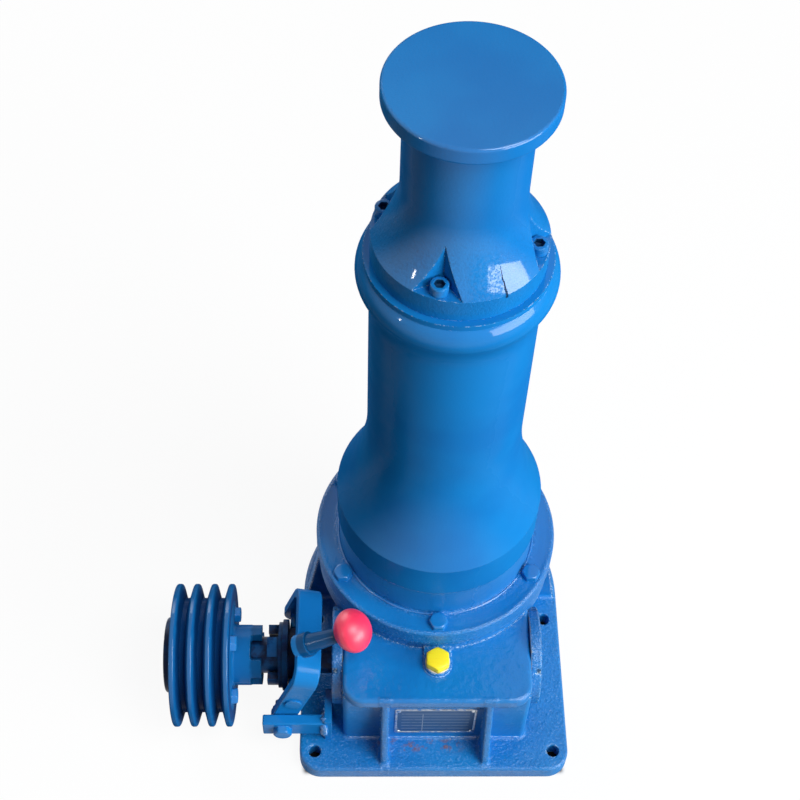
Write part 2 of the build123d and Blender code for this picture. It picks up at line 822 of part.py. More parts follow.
with BuildPart() as wheel_key:
    key_slot(
        level(wheel_hub_z + key_end), wheel_seat_d, wheel_key_size, wheel_key_length, 0, mode=Mode.ADD
    )
wheel_key.part.label = "wheel_key"
export_step(wheel_key.part, "parts/wheel_key.step")

with BuildPart() as drum_key:
    key_slot(level(drum_hub_z + key_end), drum_seat_d, wheel_key_size, drum_key_length, 0, mode=Mode.ADD)
drum_key.part.label = "drum_key"
export_step(drum_key.part, "parts/drum_key.step")

with BuildPart() as lower_spacer:
    tube(level(cavity_floor), lower_bearing[0] + 2 * seat_gap, lower_spacer_d, wheel_hub_z - cavity_floor)
lower_spacer.part.label = "lower_spacer"
export_step(lower_spacer.part, "parts/lower_spacer.step")

with BuildPart() as upper_spacer:
    spacer_length = upper_bearing_z - wheel_hub_top
    tube(level(wheel_hub_top), wheel_seat_d + 2 * seat_gap, upper_spacer_d, spacer_length)
upper_spacer.part.label = "upper_spacer"
export_step(upper_spacer.part, "parts/upper_spacer.step")

# Gear wheel: an iron hub with a bolted bronze rim that carries the teeth
disc_z = wheel_hub_z + wheel_disc_rise
disc_top = disc_z + wheel_disc_thickness
rim_z = axis_height - wheel_face / 2
with BuildPart() as wheel_hub:
    stack(level(wheel_hub_z), [(wheel_hub_length, wheel_hub_d)])
    stack(level(disc_z), [(wheel_disc_thickness, wheel_disc_d)])
    bore_d = wheel_seat_d + 2 * seat_gap
    rounds(level(wheel_hub_z), [(0, 0)], bore_d, wheel_hub_length, Mode.SUBTRACT)
    key_slot(level(wheel_hub_z), wheel_seat_d, wheel_key_size, wheel_hub_length, key_roof)
    cleared(level(disc_top), rim_bolts_at, hex_m8, wheel_disc_thickness)
wheel_hub.part.label = "wheel_hub"
export_step(wheel_hub.part, "parts/wheel_hub.step")


def involute(angle):
    """Involute function of a pressure angle in radians."""
    return tan(angle) - angle


def half_tooth_angle(radius):
    """Half the angle that a wheel tooth fills at a radius, constant below the base circle."""
    base_r = wheel_r * cos(radians(pressure_angle))
    at_pitch = (thread_pitch / 2 - flank_gap) / (2 * wheel_r)
    local_angle = acos(base_r / max(radius, base_r))
    return at_pitch + involute(radians(pressure_angle)) - involute(local_angle)


def tooth_point(radius, turn):
    """Point at a radius and at an angle in radians from the front."""
    return (radius * sin(turn), -radius * cos(turn))


def tooth_outline(twist):
    """Draw the outline of all wheel teeth, turned by an angle, in the active line."""
    root_r = wheel_r - root_ratio * module
    tip_r = wheel_r + module
    for index in range(wheel_teeth):
        centre = twist + 2 * pi * index / wheel_teeth
        following = twist + 2 * pi * (index + 1) / wheel_teeth
        flank = [(radius, half_tooth_angle(radius)) for radius in (root_r, wheel_r, tip_r)]
        ThreePointArc(*[tooth_point(radius, centre - half) for radius, half in flank])
        Line(tooth_point(tip_r, centre - flank[2][1]), tooth_point(tip_r, centre + flank[2][1]))
        ThreePointArc(*[tooth_point(radius, centre + half) for radius, half in reversed(flank)])
        Line(tooth_point(root_r, centre + flank[0][1]), tooth_point(root_r, following - flank[0][1]))


with BuildPart() as wheel_rim:
    twist_per_length = module / worm_pitch_d / wheel_r
    for rise in (-wheel_face / 2, wheel_face / 2):
        with BuildSketch(level(axis_height + rise)):
            with BuildLine():
                tooth_outline(rise * twist_per_length)
            make_face()
    loft(ruled=True)
    rounds(level(rim_z), [(0, 0)], rim_bore, wheel_face, Mode.SUBTRACT)
    rounds(level(rim_z), [(0, 0)], wheel_disc_d + 2 * seat_gap, disc_top - rim_z, Mode.SUBTRACT)
    tapped(level(disc_top), rim_bolts_at, hex_m8, wheel_disc_thickness - rim_bolt_length)
wheel_rim.part.label = "wheel_rim"
export_step(wheel_rim.part, "parts/wheel_rim.step")

with BuildPart() as rim_bolts:
    under_disc = Plane(origin=(0, 0, disc_z), x_dir=(1, 0, 0), z_dir=(0, 0, -1))
    hex_bolts(under_disc, rim_bolts_at, hex_m8, rim_bolt_length)
rim_bolts.part.label = "rim_bolts"
export_step(rim_bolts.part, "parts/rim_bolts.step")

# Rope drum: a flared and waisted hollow casting with a rounded rope stop at the top
waist_r = waist_d / 2
rim_r = rim_d / 2
waist_z = drum_z + waist_height
bulge_z = drum_top - bulge_drop
flare_rise = waist_height - rim_height
flare_r = ((rim_r - waist_r) ** 2 + flare_rise**2) / (2 * (rim_r - waist_r))
bulge_centre_r = bulge_d / 2 - bulge_tube
fillet_drop = sqrt((bulge_fillet + bulge_tube) ** 2 - (waist_r + bulge_fillet - bulge_centre_r) ** 2)
fillet_z = bulge_z - fillet_drop
tube_share = bulge_tube / (bulge_fillet + bulge_tube)
blend_r = bulge_centre_r + (waist_r + bulge_fillet - bulge_centre_r) * tube_share
blend_z = bulge_z - fillet_drop * tube_share
lip_z = bulge_z + sqrt(bulge_tube**2 - (lip_d / 2 - bulge_centre_r) ** 2)
web_z = drum_z + web_height
web_top = web_z + web_thickness
cavity_top = drum_top - top_plate


def flare_at(height, wall=0):
    """Radius of the drum's flare at a height, on the outside or a wall further in."""
    return waist_r + flare_r - sqrt((flare_r + wall) ** 2 - (waist_z - height) ** 2)


with BuildPart() as capstan_drum:
    with BuildSketch(Plane.XZ):
        with BuildLine():
            flare = RadiusArc((rim_r, drum_z + rim_height), (waist_r, waist_z), flare_r)
            waist = Line(flare @ 1, (waist_r, fillet_z))
            blend = TangentArc(waist @ 1, (blend_r, blend_z), tangent=(0, 1))
            bulge = ThreePointArc(blend @ 1, (bulge_d / 2, bulge_z), (lip_d / 2, lip_z))
            Polyline(bulge @ 1, (lip_d / 2, drum_top), (0, drum_top), (0, drum_z), (rim_r, drum_z), flare @ 0)
        make_face()
    revolve(axis=Axis.Z)
    with BuildSketch(Plane.XZ):
        with BuildLine():
            inner = RadiusArc(
                (flare_at(web_top, drum_wall), web_top), (waist_r - drum_wall, waist_z), flare_r + drum_wall
            )
            Polyline(inner @ 1, (waist_r - drum_wall, cavity_top), (0, cavity_top), (0, web_top), inner @ 0)
        make_face()
    revolve(axis=Axis.Z, mode=Mode.SUBTRACT)
    rounds(level(drum_z), [(0, 0)], rim_d - 2 * drum_wall, web_height, Mode.SUBTRACT)
    stack(level(drum_hub_z), [(drum_hub_length, drum_hub_d)])
    core_holes_at = on_circle((drum_hub_d + rim_d - 2 * drum_wall) / 2, core_hole_count)
    rounds(level(web_z), core_holes_at, core_hole, web_thickness, Mode.SUBTRACT)
    hub_bore_d = drum_seat_d + 2 * seat_gap
    rounds(level(drum_hub_z), [(0, 0)], hub_bore_d, drum_hub_length, Mode.SUBTRACT)
    key_slot(level(drum_hub_z), drum_seat_d, wheel_key_size, drum_hub_length, key_roof)
    rounds(level(drum_top), [(0, 0)], mast_d + 2 * seat_gap, -top_plate, Mode.SUBTRACT)
    rounds(level(drum_top), [(0, 0)], spigot_d + 2 * seat_gap, recess_floor - drum_top, Mode.SUBTRACT)
    tapped(level(drum_top), head_screws_at, cap_m10, head_screw_length - foot_height)
capstan_drum.part.label = "capstan_drum"
export_step(capstan_drum.part, "parts/capstan_drum.step")

with BuildPart() as drum_washer:
    tube(level(recess_floor), mast_thread_d + 2 * seat_gap, drum_washer_d, drum_washer_thickness)
drum_washer.part.label = "drum_washer"
export_step(drum_washer.part, "parts/drum_washer.step")

with BuildPart() as drum_nut:
    nut_seat = level(recess_floor + drum_washer_thickness)
    hex_heads(nut_seat, [(0, 0)], nut_flats, nut_height)
    rounds(nut_seat, [(0, 0)], mast_thread_d + 2 * seat_gap, nut_height, Mode.SUBTRACT)
drum_nut.part.label = "drum_nut"
export_step(drum_nut.part, "parts/drum_nut.step")

# Warping head: hollow casting with a flared foot, notched round its four screws
foot_r = foot_d / 2
neck_r = neck_d / 2
neck_z = drum_top + neck_height
disc_under = head_top - disc_thickness
foot_rise = neck_height - foot_height
foot_flare_r = ((foot_r - neck_r) ** 2 + foot_rise**2) / (2 * (foot_r - neck_r))
with BuildPart() as warping_head:
    with BuildSketch(Plane.XZ):
        with BuildLine():
            sweep_up = RadiusArc((foot_r, foot_top), (neck_r, neck_z), foot_flare_r)
            Polyline(
                sweep_up @ 1,
                (neck_r, disc_under),
                (disc_d / 2, disc_under),
                (disc_d / 2, head_top),
                (0, head_top),
                (0, drum_top),
                (foot_r, drum_top),
                sweep_up @ 0,
            )
        make_face()
    revolve(axis=Axis.Z)
    under_rings = edges().filter_by(GeomType.CIRCLE).filter_by_position(Axis.Z, disc_under, head_top)
    fillet(under_rings.sort_by(SortBy.RADIUS)[0], neck_fillet)
    disc_rings = edges().filter_by(GeomType.CIRCLE).filter_by_position(Axis.Z, disc_under, head_top)
    fillet(disc_rings.sort_by(SortBy.RADIUS)[-2:], disc_edge)
    tube(level(drum_top - spigot_length), head_bore, spigot_d, spigot_length)
    rounds(level(drum_top), [(0, 0)], head_bore, head_height - head_roof, Mode.SUBTRACT)
    with BuildSketch(level(foot_top)):
        with PolarLocations(0, head_screw_count, head_screw_turn):
            Polygon(
                (notch_apex_r, 0), (foot_r, -notch_half_width), (foot_r, notch_half_width), align=None
            )
    extrude(amount=notch_rise, mode=Mode.SUBTRACT)
    cleared(level(foot_top), head_screws_at, cap_m10, foot_height)
warping_head.part.label = "warping_head"
export_step(warping_head.part, "parts/warping_head.step")

with BuildPart() as head_screws:
    socket_screws(level(foot_top), head_screws_at, cap_m10, head_screw_length)
head_screws.part.label = "head_screws"
export_step(head_screws.part, "parts/head_screws.step")

# Worm shaft with the thread cut on it, running out of the case to the clutch and the pulley
sleeve_jaw_tip = sleeve_root - jaw_length
key_left = sleeve_jaw_tip + end_gap
key_right = shift_x + groove_width / 2
key_length = key_right - key_left
shaft_right = bearing_out_x + gasket
seat_step = hub_root + end_gap
with BuildPart() as worm_shaft:
    stack(
        across(shaft_right, -1),
        [
            (shaft_right - bearing_in_x, worm_bearing[0]),
            (2 * bearing_in_x, worm_root_d),
            (-bearing_in_x - seat_step, worm_bearing[0]),
            (seat_step - shaft_end, pulley_seat_d),
        ],
    )
    key_slot(across(key_left), worm_bearing[0], sleeve_key_size, key_length, seat_gap, (1, -1))
    tapped(across(shaft_end, -1), [(0, 0)], hex_m12, end_bolt_length)
    thread_start_x = -thread_turns / 2 * thread_pitch
    with BuildLine() as thread_path:
        Helix(
            thread_pitch,
            thread_turns * thread_pitch,
            worm_r,
            center=(thread_start_x, -centre_distance, axis_height),
            direction=(1, 0, 0),
        )
    thread_start_plane = Plane(origin=thread_path.line @ 0, x_dir=(0, 0, 1), z_dir=(0, 1, 0))
    half_thread = thread_pitch / 4 - flank_gap / 2
    slope = tan(radians(pressure_angle))
    root_depth = worm_r - worm_root_d / 2 + run_gap
    with BuildSketch(thread_start_plane):
        with BuildLine():
            Polyline(
                (-root_depth, -half_thread - root_depth * slope),
                (module, -half_thread + module * slope),
                (module, half_thread - module * slope),
                (-root_depth, half_thread + root_depth * slope),
                close=True,
            )
        make_face()
    sweep(path=thread_path.line, is_frenet=True)
worm_shaft.part.label = "worm_shaft"
export_step(worm_shaft.part, "parts/worm_shaft.step")

with BuildPart() as sleeve_keys:
    key_slot(across(key_left), worm_bearing[0], sleeve_key_size, key_length, 0, (1, -1), Mode.ADD)
sleeve_keys.part.label = "sleeve_keys"
export_step(sleeve_keys.part, "parts/sleeve_keys.step")

# Clutch sleeve: shift groove and jaws, sliding on the two keys
with BuildPart() as clutch_sleeve:
    stack(
        across(sleeve_right, -1),
        [
            (sleeve_flange, sleeve_flange_d),
            (groove_width, groove_d),
            (sleeve_collar, sleeve_flange_d),
            (sleeve_shoulder, sleeve_shoulder_d),
        ],
    )
    jaws(across(sleeve_root, -1), -hub_jaw_turn + 180 / jaw_count)
    sleeve_length = sleeve_right - sleeve_jaw_tip
    sleeve_bore_d = worm_bearing[0] + 2 * run_gap
    rounds(across(sleeve_right, -1), [(0, 0)], sleeve_bore_d, sleeve_length, Mode.SUBTRACT)
    key_slot(across(sleeve_jaw_tip), worm_bearing[0], sleeve_key_size, sleeve_length, run_gap, (1, -1))
clutch_sleeve.part.label = "clutch_sleeve"
export_step(clutch_sleeve.part, "parts/clutch_sleeve.step")

# Belt pulley that runs free on the shaft until the clutch takes it along
with BuildPart() as belt_pulley:
    groove_points = []
    for index in range(groove_count):
        groove_x = pulley_left + pulley_side + index * groove_pitch
        groove_points += [
            (groove_x - groove_top / 2, pulley_d / 2),
            (groove_x - groove_bottom / 2, pulley_d / 2 - groove_depth),
            (groove_x + groove_bottom / 2, pulley_d / 2 - groove_depth),
            (groove_x + groove_top / 2, pulley_d / 2),
        ]
    with BuildSketch(worm_section) as pulley_profile:
        with BuildLine():
            Polyline(
                (bush_left, cap_recess_d / 2),
                (pulley_left, cap_recess_d / 2),
                (pulley_left, pulley_d / 2),
                *groove_points,
                (pulley_right, pulley_d / 2),
                (pulley_right, hub_flange_d / 2 + seat_gap),
                (flange_seat, hub_flange_d / 2 + seat_gap),
                (flange_seat, bush_d / 2 + seat_gap),
                (bush_left, bush_d / 2 + seat_gap),
                close=True,
            )
        make_face()
        fillet(pulley_profile.vertices().group_by(Axis.Y)[-1], crest_round)
    revolve(axis=worm_axis)
    tapped(across(flange_seat), hub_bolts_at, hex_m10, hub_bolt_length - hub_flange)
    tapped(across(pulley_left, -1), cap_screws_at, cap_m4, cap_screw_length)
belt_pulley.part.label = "belt_pulley"
export_step(belt_pulley.part, "parts/belt_pulley.step")

with BuildPart() as pulley_bushes:
    for start in (bush_left, flange_seat - bush_length):
        tube(across(start), pulley_seat_d + 2 * run_gap, bush_d, bush_length)
pulley_bushes.part.label = "pulley_bushes"
export_step(pulley_bushes.part, "parts/pulley_bushes.step")

with BuildPart() as jaw_hub:
    stack(across(flange_seat), [(hub_flange, hub_flange_d), (hub_neck, jaw_outer_d)])
    neck_foot = edges().filter_by(GeomType.CIRCLE).filter_by_position(Axis.X, pulley_right, pulley_right)
    fillet(neck_foot.sort_by(SortBy.RADIUS)[0], hub_foot)
    jaws(across(hub_root), hub_jaw_turn)
    hub_bore_length = hub_flange + hub_neck + jaw_length
    hub_shaft_bore = pulley_seat_d + 2 * run_gap
    rounds(across(flange_seat), [(0, 0)], hub_shaft_bore, hub_bore_length, Mode.SUBTRACT)
    cleared(across(pulley_right), hub_bolts_at, hex_m10, hub_flange)
jaw_hub.part.label = "jaw_hub"
export_step(jaw_hub.part, "parts/jaw_hub.step")

with BuildPart() as hub_bolts:
    hex_bolts(across(pulley_right), hub_bolts_at, hex_m10, hub_bolt_length)
hub_bolts.part.label = "hub_bolts"
export_step(hub_bolts.part, "parts/hub_bolts.step")

with BuildPart() as end_washer:
    tube(across(shaft_end, -1), hex_m12[0] + 2 * seat_gap, washer_d, washer_thickness)
end_washer.part.label = "end_washer"
export_step(end_washer.part, "parts/end_washer.step")

with BuildPart() as end_bolt:
    hex_bolts(across(shaft_end - washer_thickness, -1), [(0, 0)], hex_m12, end_bolt_length)
end_bolt.part.label = "end_bolt"
export_step(end_bolt.part, "parts/end_bolt.step")

with BuildPart() as end_cap:
    stack(across(pulley_left, -1), [(cap_thickness, cap_d)])
    chamfer(faces().sort_by(Axis.X)[0].edges(), head_chamfer)
    cap_hollow = cap_thickness - cap_wall
    rounds(across(pulley_left, -1), [(0, 0)], cap_recess_d, cap_hollow, Mode.SUBTRACT)
    cap_face = across(pulley_left - cap_thickness, -1)
    cleared(cap_face, cap_screws_at, cap_m4, cap_thickness)
    rounds(cap_face, cap_screws_at, cap_m4[1] + 2 * bolt_gap, -cap_m4[2], Mode.SUBTRACT)
end_cap.part.label = "end_cap"
export_step(end_cap.part, "parts/end_cap.step")

with BuildPart() as end_cap_screws:
    screw_seat = across(pulley_left - cap_thickness + cap_m4[2], -1)
    socket_screws(screw_seat, cap_screws_at, cap_m4, cap_screw_length)
end_cap_screws.part.label = "end_cap_screws"
export_step(end_cap_screws.part, "parts/end_cap_screws.step")

# Shift yoke: a flat bar bent over the sleeve, with the front leg on the pivot bolt
inner_half = yoke_half_span - yoke_thickness
leg_middle = yoke_half_span - yoke_thickness / 2
with BuildPart() as shift_yoke:
    with BuildSketch(yoke_plane) as bent_bar:
        with BuildLine():
            Polyline(
                (-yoke_half_span, -yoke_foot),
                (-yoke_half_span, yoke_top),
                (yoke_half_span, yoke_top),
                (yoke_half_span, yoke_rear_end),
                (inner_half, yoke_rear_end),
                (inner_half, yoke_top - yoke_thickness),
                (-inner_half, yoke_top - yoke_thickness),
                (-inner_half, -yoke_foot),
                close=True,
            )
        make_face()
        inside = bent_bar.vertices().filter_by_position(Axis.X, -inner_half, inner_half)
        fillet(inside.group_by(Axis.Y)[-1], yoke_corner - yoke_thickness)
        fillet(bent_bar.vertices().group_by(Axis.Y)[-1], yoke_corner)
    extrude(amount=yoke_width / 2, both=True)
    front_foot = yoke_plane.from_local_coords(Vector(-leg_middle, -yoke_foot, 0))
    fillet(edges().filter_by(Axis.Y).sort_by_distance(front_foot)[:2], yoke_end_round)
    rear_foot = yoke_plane.from_local_coords(Vector(leg_middle, yoke_rear_end, 0))
    fillet(edges().filter_by(Axis.Y).sort_by_distance(rear_foot)[:2], yoke_end_round)
    side_faces = faces().sort_by(Axis(yoke_plane.origin, yoke_plane.z_dir))
    fillet(side_faces[0].edges() + side_faces[-1].edges(), yoke_edge)
    stack(along_handle(-handle_boss_back), [(handle_boss_back + handle_boss_front, handle_boss_d)])
    spigot_hole_d = rod_spigot_d + 2 * seat_gap
    rounds(along_handle(rod_start), [(0, 0)], spigot_hole_d, -rod_spigot - end_gap, Mode.SUBTRACT)
    leg_face = facing_front(pivot_x, -leg_front, pivot_height)
    rounds(leg_face, [(0, 0)], pivot_bolt_d + 2 * run_gap, -yoke_thickness, Mode.SUBTRACT)
    pin_face = facing_front(shift_x, -leg_front, axis_height)
    rounds(pin_face, [(0, 0)], yoke_pin_d + 2 * seat_gap, -2 * yoke_half_span, Mode.SUBTRACT)
shift_yoke.part.label = "shift_yoke"
export_step(shift_yoke.part, "parts/shift_yoke.step")

with BuildPart() as yoke_pins:
    pin_length = yoke_half_span - groove_d / 2 - pin_room
    for side in (-1, 1):
        pin_plane = facing_front(shift_x, side * yoke_half_span - centre_distance, axis_height, side)
        rounds(pin_plane, [(0, 0)], yoke_pin_d, -pin_length)
        rounds(pin_plane, [(0, 0)], pin_head_d, pin_head)
yoke_pins.part.label = "yoke_pins"
export_step(yoke_pins.part, "parts/yoke_pins.step")

with BuildPart() as handle_rod:
    with BuildSketch(along_handle(rod_start)):
        Circle(rod_root_d / 2)
    with BuildSketch(along_handle(rod_end)):
        Circle(rod_tip_d / 2)
    loft()
    rounds(along_handle(rod_start), [(0, 0)], rod_spigot_d, -rod_spigot)
    rounds(along_handle(rod_end), [(0, 0)], rod_spigot_d, stud_length)
handle_rod.part.label = "handle_rod"
export_step(handle_rod.part, "parts/handle_rod.step")

# Flattened ball: two wide caps joined by a tighter side round
side_rise = knob_d / 2 - knob_side_r
side_reach = knob_length / 2 - knob_side_r
cap_shift = (side_rise**2 - side_reach**2) / (2 * side_reach)
cap_r = knob_length / 2 + cap_shift
cap_share = cap_r / (cap_r - knob_side_r)
meet_x = cap_shift * (cap_share - 1)
meet_r = side_rise * cap_share
flat_x = knob_flat - knob_length / 2
flat_r = sqrt(cap_r**2 - (flat_x - cap_shift) ** 2)
with BuildPart() as ball_knob:
    with BuildSketch(Plane(origin=knob_centre, x_dir=handle_dir, z_dir=(0, 1, 0))):
        with BuildLine():
            cap = TangentArc((knob_length / 2, 0), (meet_x, meet_r), tangent=(0, 1))
            round_side = TangentArc(cap @ 1, (-meet_x, meet_r), tangent=cap % 1)
            back_cap = TangentArc(round_side @ 1, (flat_x, flat_r), tangent=round_side % 1)
            Polyline(back_cap @ 1, (flat_x, 0), cap @ 0)
        make_face()
    revolve(axis=Axis(knob_centre, handle_dir))
    stud_hole_d = rod_spigot_d + 2 * seat_gap
    rounds(along_handle(rod_end), [(0, 0)], stud_hole_d, stud_length + end_gap, Mode.SUBTRACT)
ball_knob.part.label = "ball_knob"
export_step(ball_knob.part, "parts/ball_knob.step")
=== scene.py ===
import math

import bpy
import numpy as np
from bpy.props import FloatProperty, FloatVectorProperty, IntProperty, PointerProperty
from bpy.types import Operator, Panel, PropertyGroup
from mathutils import Matrix, Vector


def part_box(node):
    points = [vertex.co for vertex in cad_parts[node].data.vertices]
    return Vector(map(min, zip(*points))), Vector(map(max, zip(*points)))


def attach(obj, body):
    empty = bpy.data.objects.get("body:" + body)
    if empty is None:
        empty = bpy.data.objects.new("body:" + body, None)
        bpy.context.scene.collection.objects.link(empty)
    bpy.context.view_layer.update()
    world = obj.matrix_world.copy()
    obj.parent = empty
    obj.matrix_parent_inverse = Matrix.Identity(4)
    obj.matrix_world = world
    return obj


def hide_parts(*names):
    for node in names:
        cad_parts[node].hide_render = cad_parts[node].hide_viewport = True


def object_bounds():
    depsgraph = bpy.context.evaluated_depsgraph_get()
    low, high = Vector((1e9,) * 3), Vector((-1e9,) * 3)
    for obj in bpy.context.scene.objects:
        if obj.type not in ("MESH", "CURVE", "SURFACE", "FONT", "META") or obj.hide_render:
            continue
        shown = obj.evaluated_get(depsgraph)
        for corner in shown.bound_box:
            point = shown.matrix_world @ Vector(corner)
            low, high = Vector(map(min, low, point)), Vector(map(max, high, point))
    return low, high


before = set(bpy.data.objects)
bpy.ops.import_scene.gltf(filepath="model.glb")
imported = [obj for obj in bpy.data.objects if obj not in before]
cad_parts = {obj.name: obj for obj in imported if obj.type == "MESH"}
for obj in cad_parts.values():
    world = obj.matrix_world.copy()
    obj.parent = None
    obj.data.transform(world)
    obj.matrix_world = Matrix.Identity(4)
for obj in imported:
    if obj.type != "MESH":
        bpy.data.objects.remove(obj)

CAD_BOX = [[float(value) for value in corner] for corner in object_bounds()]

bl_info = {
    "name": "Belt-Driven Capstan",
    "version": (1, 0, 0),
    "blender": (4, 5, 0),
    "location": "View3D > Sidebar > Capstan",
    "description": "Paints a vertical capstan and makes its bolts, screws, plate and welds",
    "category": "Add Mesh",
}

MM = 0.001
X, Y, Z = np.eye(3)
WORM_Y, WORM_Z = -0.115, 0.088  # line that the worm, sleeve and pulley turn about
HANDLE_LEAN = math.radians(56.5)  # of the shift handle, from upright
BASE_TOP = 20  # millimetres


# Settings a user would change


def colour(name, description, default):
    """A colour setting."""
    return FloatVectorProperty(
        name=name, description=description, default=default, size=3, min=0, max=1, subtype="COLOR"
    )


def number(name, description, default, **limits):
    """A number's setting."""
    return FloatProperty(name=name, description=description, default=default, **limits)


def length(name, description, default):
    """A length setting, in metres."""
    return number(name, description, default, min=0, precision=5, unit="LENGTH")


def power(name, description, default):
    """A lamp's setting, in watts."""
    return number(name, description, default, min=0, unit="POWER")


class CapstanPaint(PropertyGroup):
    """Colours of the finishes and the sizes of the paint's texture."""

    enamel: colour("Enamel", "Blue of the castings", (0.007, 0.186, 0.520))
    enamel_deep: colour("Deep enamel", "Blue where the paint lies thick", (0.006, 0.156, 0.470))
    enamel_thin: colour("Thin enamel", "Blue drawn thin over an edge", (0.03, 0.27, 0.58))
    # Painted highlight: a pale blue for specks that stand in for glints along edges and on grains.
    enamel_glint: colour("Rubbed enamel", "Pale blue of specks along rubbed edges", (0.60, 0.82, 0.96))
    primer: colour("Primer", "Red oxide under the enamel", (0.17, 0.075, 0.06))
    iron: colour("Oiled iron", "Clutch sleeve and jaws", (0.003, 0.014, 0.055))
    steel: colour("Steel", "Shafts, keys and spacers", (0.46, 0.46, 0.48))
    bronze: colour("Bronze", "Worm wheel teeth and bushes", (0.50, 0.29, 0.10))
    rubber: colour("Rubber", "Shaft seals", (0.018, 0.018, 0.019))
    gasket: colour("Gasket", "Sheet under the covers", (0.10, 0.105, 0.11))
    plate: colour("Plate", "Bare metal of the nameplate", (0.56, 0.58, 0.60))
    plate_field: colour("Plate field", "Dark ground of the nameplate", (0.020, 0.075, 0.19))
    plug: colour("Plug", "Yellow of the filler plug", (0.93, 0.79, 0.010))
    knob: colour("Knob", "Red of the ball knob", (0.97, 0.034, 0.108))
    peel_size: length("Peel size", "Spacing of the orange peel in the enamel", 2.2 * MM)
    peel_height: length("Peel height", "Height of the orange peel", 0.10 * MM)
    skin_size: length("Casting skin size", "Spacing of the lumps under the paint", 9 * MM)
    skin_height: length("Casting skin height", "Height of the lumps under the paint", 0.55 * MM)
    rough_size: length("Rough size", "Spacing of the grit on rough edges", 2.6 * MM)
    rough_height: length("Rough height", "Height of the grit on rough edges", 0.9 * MM)
    edge_radius: length("Edge radius", "Rounding of painted edges", 1.6 * MM)
    sheen: number("Sheen", "How strongly the enamel on castings mirrors", 0.4, min=0, max=1)


class CapstanBolts(PropertyGroup):
    """Sizes of the bolts and screws."""

    flats: length("Bolt flats", "Width across flats of the cover and pivot bolts", 18 * MM)
    head: length("Bolt head", "Head height of the cover and pivot bolts", 7.5 * MM)
    hub_flats: length("Hub bolt flats", "Width across flats of the jaw hub bolts", 16 * MM)
    hub_head: length("Hub bolt head", "Head height of the jaw hub bolts", 6.4 * MM)
    plug_flats: length("Plug flats", "Width across flats of the filler plug", 24 * MM)
    plug_head: length("Plug head", "Head height of the filler plug", 10 * MM)
    corner: IntProperty(
        name="Corner", description="Sharpness of painted hexagon corners", default=26, min=8, max=80
    )
    chamfer: number("Chamfer", "Angle of the cone on a bolt head", math.radians(28), subtype="ANGLE")


class CapstanMarks(PropertyGroup):
    """Sizes of the plate, the weld beads and the thick paint."""

    frame_width: length("Plate frame", "Width of the plate's raised frame", 2.4 * MM)
    frame_height: length("Plate frame height", "Height of the plate's raised frame", 0.35 * MM)
    weld: length("Weld", "Half width of a weld bead", 4.4 * MM)
    weld_step: length("Weld step", "Length of one ripple in a weld bead", 4.0 * MM)
    bead: length("Paint bead", "Half width of thick paint at a collar's foot", 1.3 * MM)


class CapstanStage(PropertyGroup):
    """Light, floor and camera."""

    floor: colour("Floor", "Colour of the floor", (0.84, 0.85, 0.86))
    floor_bounce: colour("Floor bounce", "Colour that the floor throws back", (0.11, 0.11, 0.115))
    door: power("Door", "Power of the wide light at the front right", 92)
    roof: power("Roof", "Power of the wide light high on the right", 115)
    rear: power("Rear", "Power of the wide light behind on the left", 60)
    lamp: power("Lamp", "Power of the small lamp on the left", 2.5)
    sky: number("Sky", "Strength of the light from all round", 0.11, min=0)
    lens: number("Lens", "Focal length of the camera", 67.49, min=1, unit="CAMERA")


# Shader maths


def operator_node(operation, swapped=False):
    """A Python operator that adds one Math node."""

    def apply(self, other=0.0):
        first, second = (other, self) if swapped else (self, other)
        return self.finish.node("Math", {0: first, 1: second}, operation=operation)

    return apply


class Wire:
    """A node's output that takes part in Python expressions on values."""

    def __init__(self, finish, socket):
        self.finish = finish
        self.socket = socket

    __add__ = __radd__ = operator_node("ADD")
    __sub__ = operator_node("SUBTRACT")
    __rsub__ = operator_node("SUBTRACT", True)
    __mul__ = __rmul__ = operator_node("MULTIPLY")
    __truediv__ = operator_node("DIVIDE")
    __rtruediv__ = operator_node("DIVIDE", True)
    __pow__ = operator_node("POWER")
    __mod__ = operator_node("FLOORED_MODULO")
    __abs__ = operator_node("ABSOLUTE")
    __or__ = operator_node("MAXIMUM")


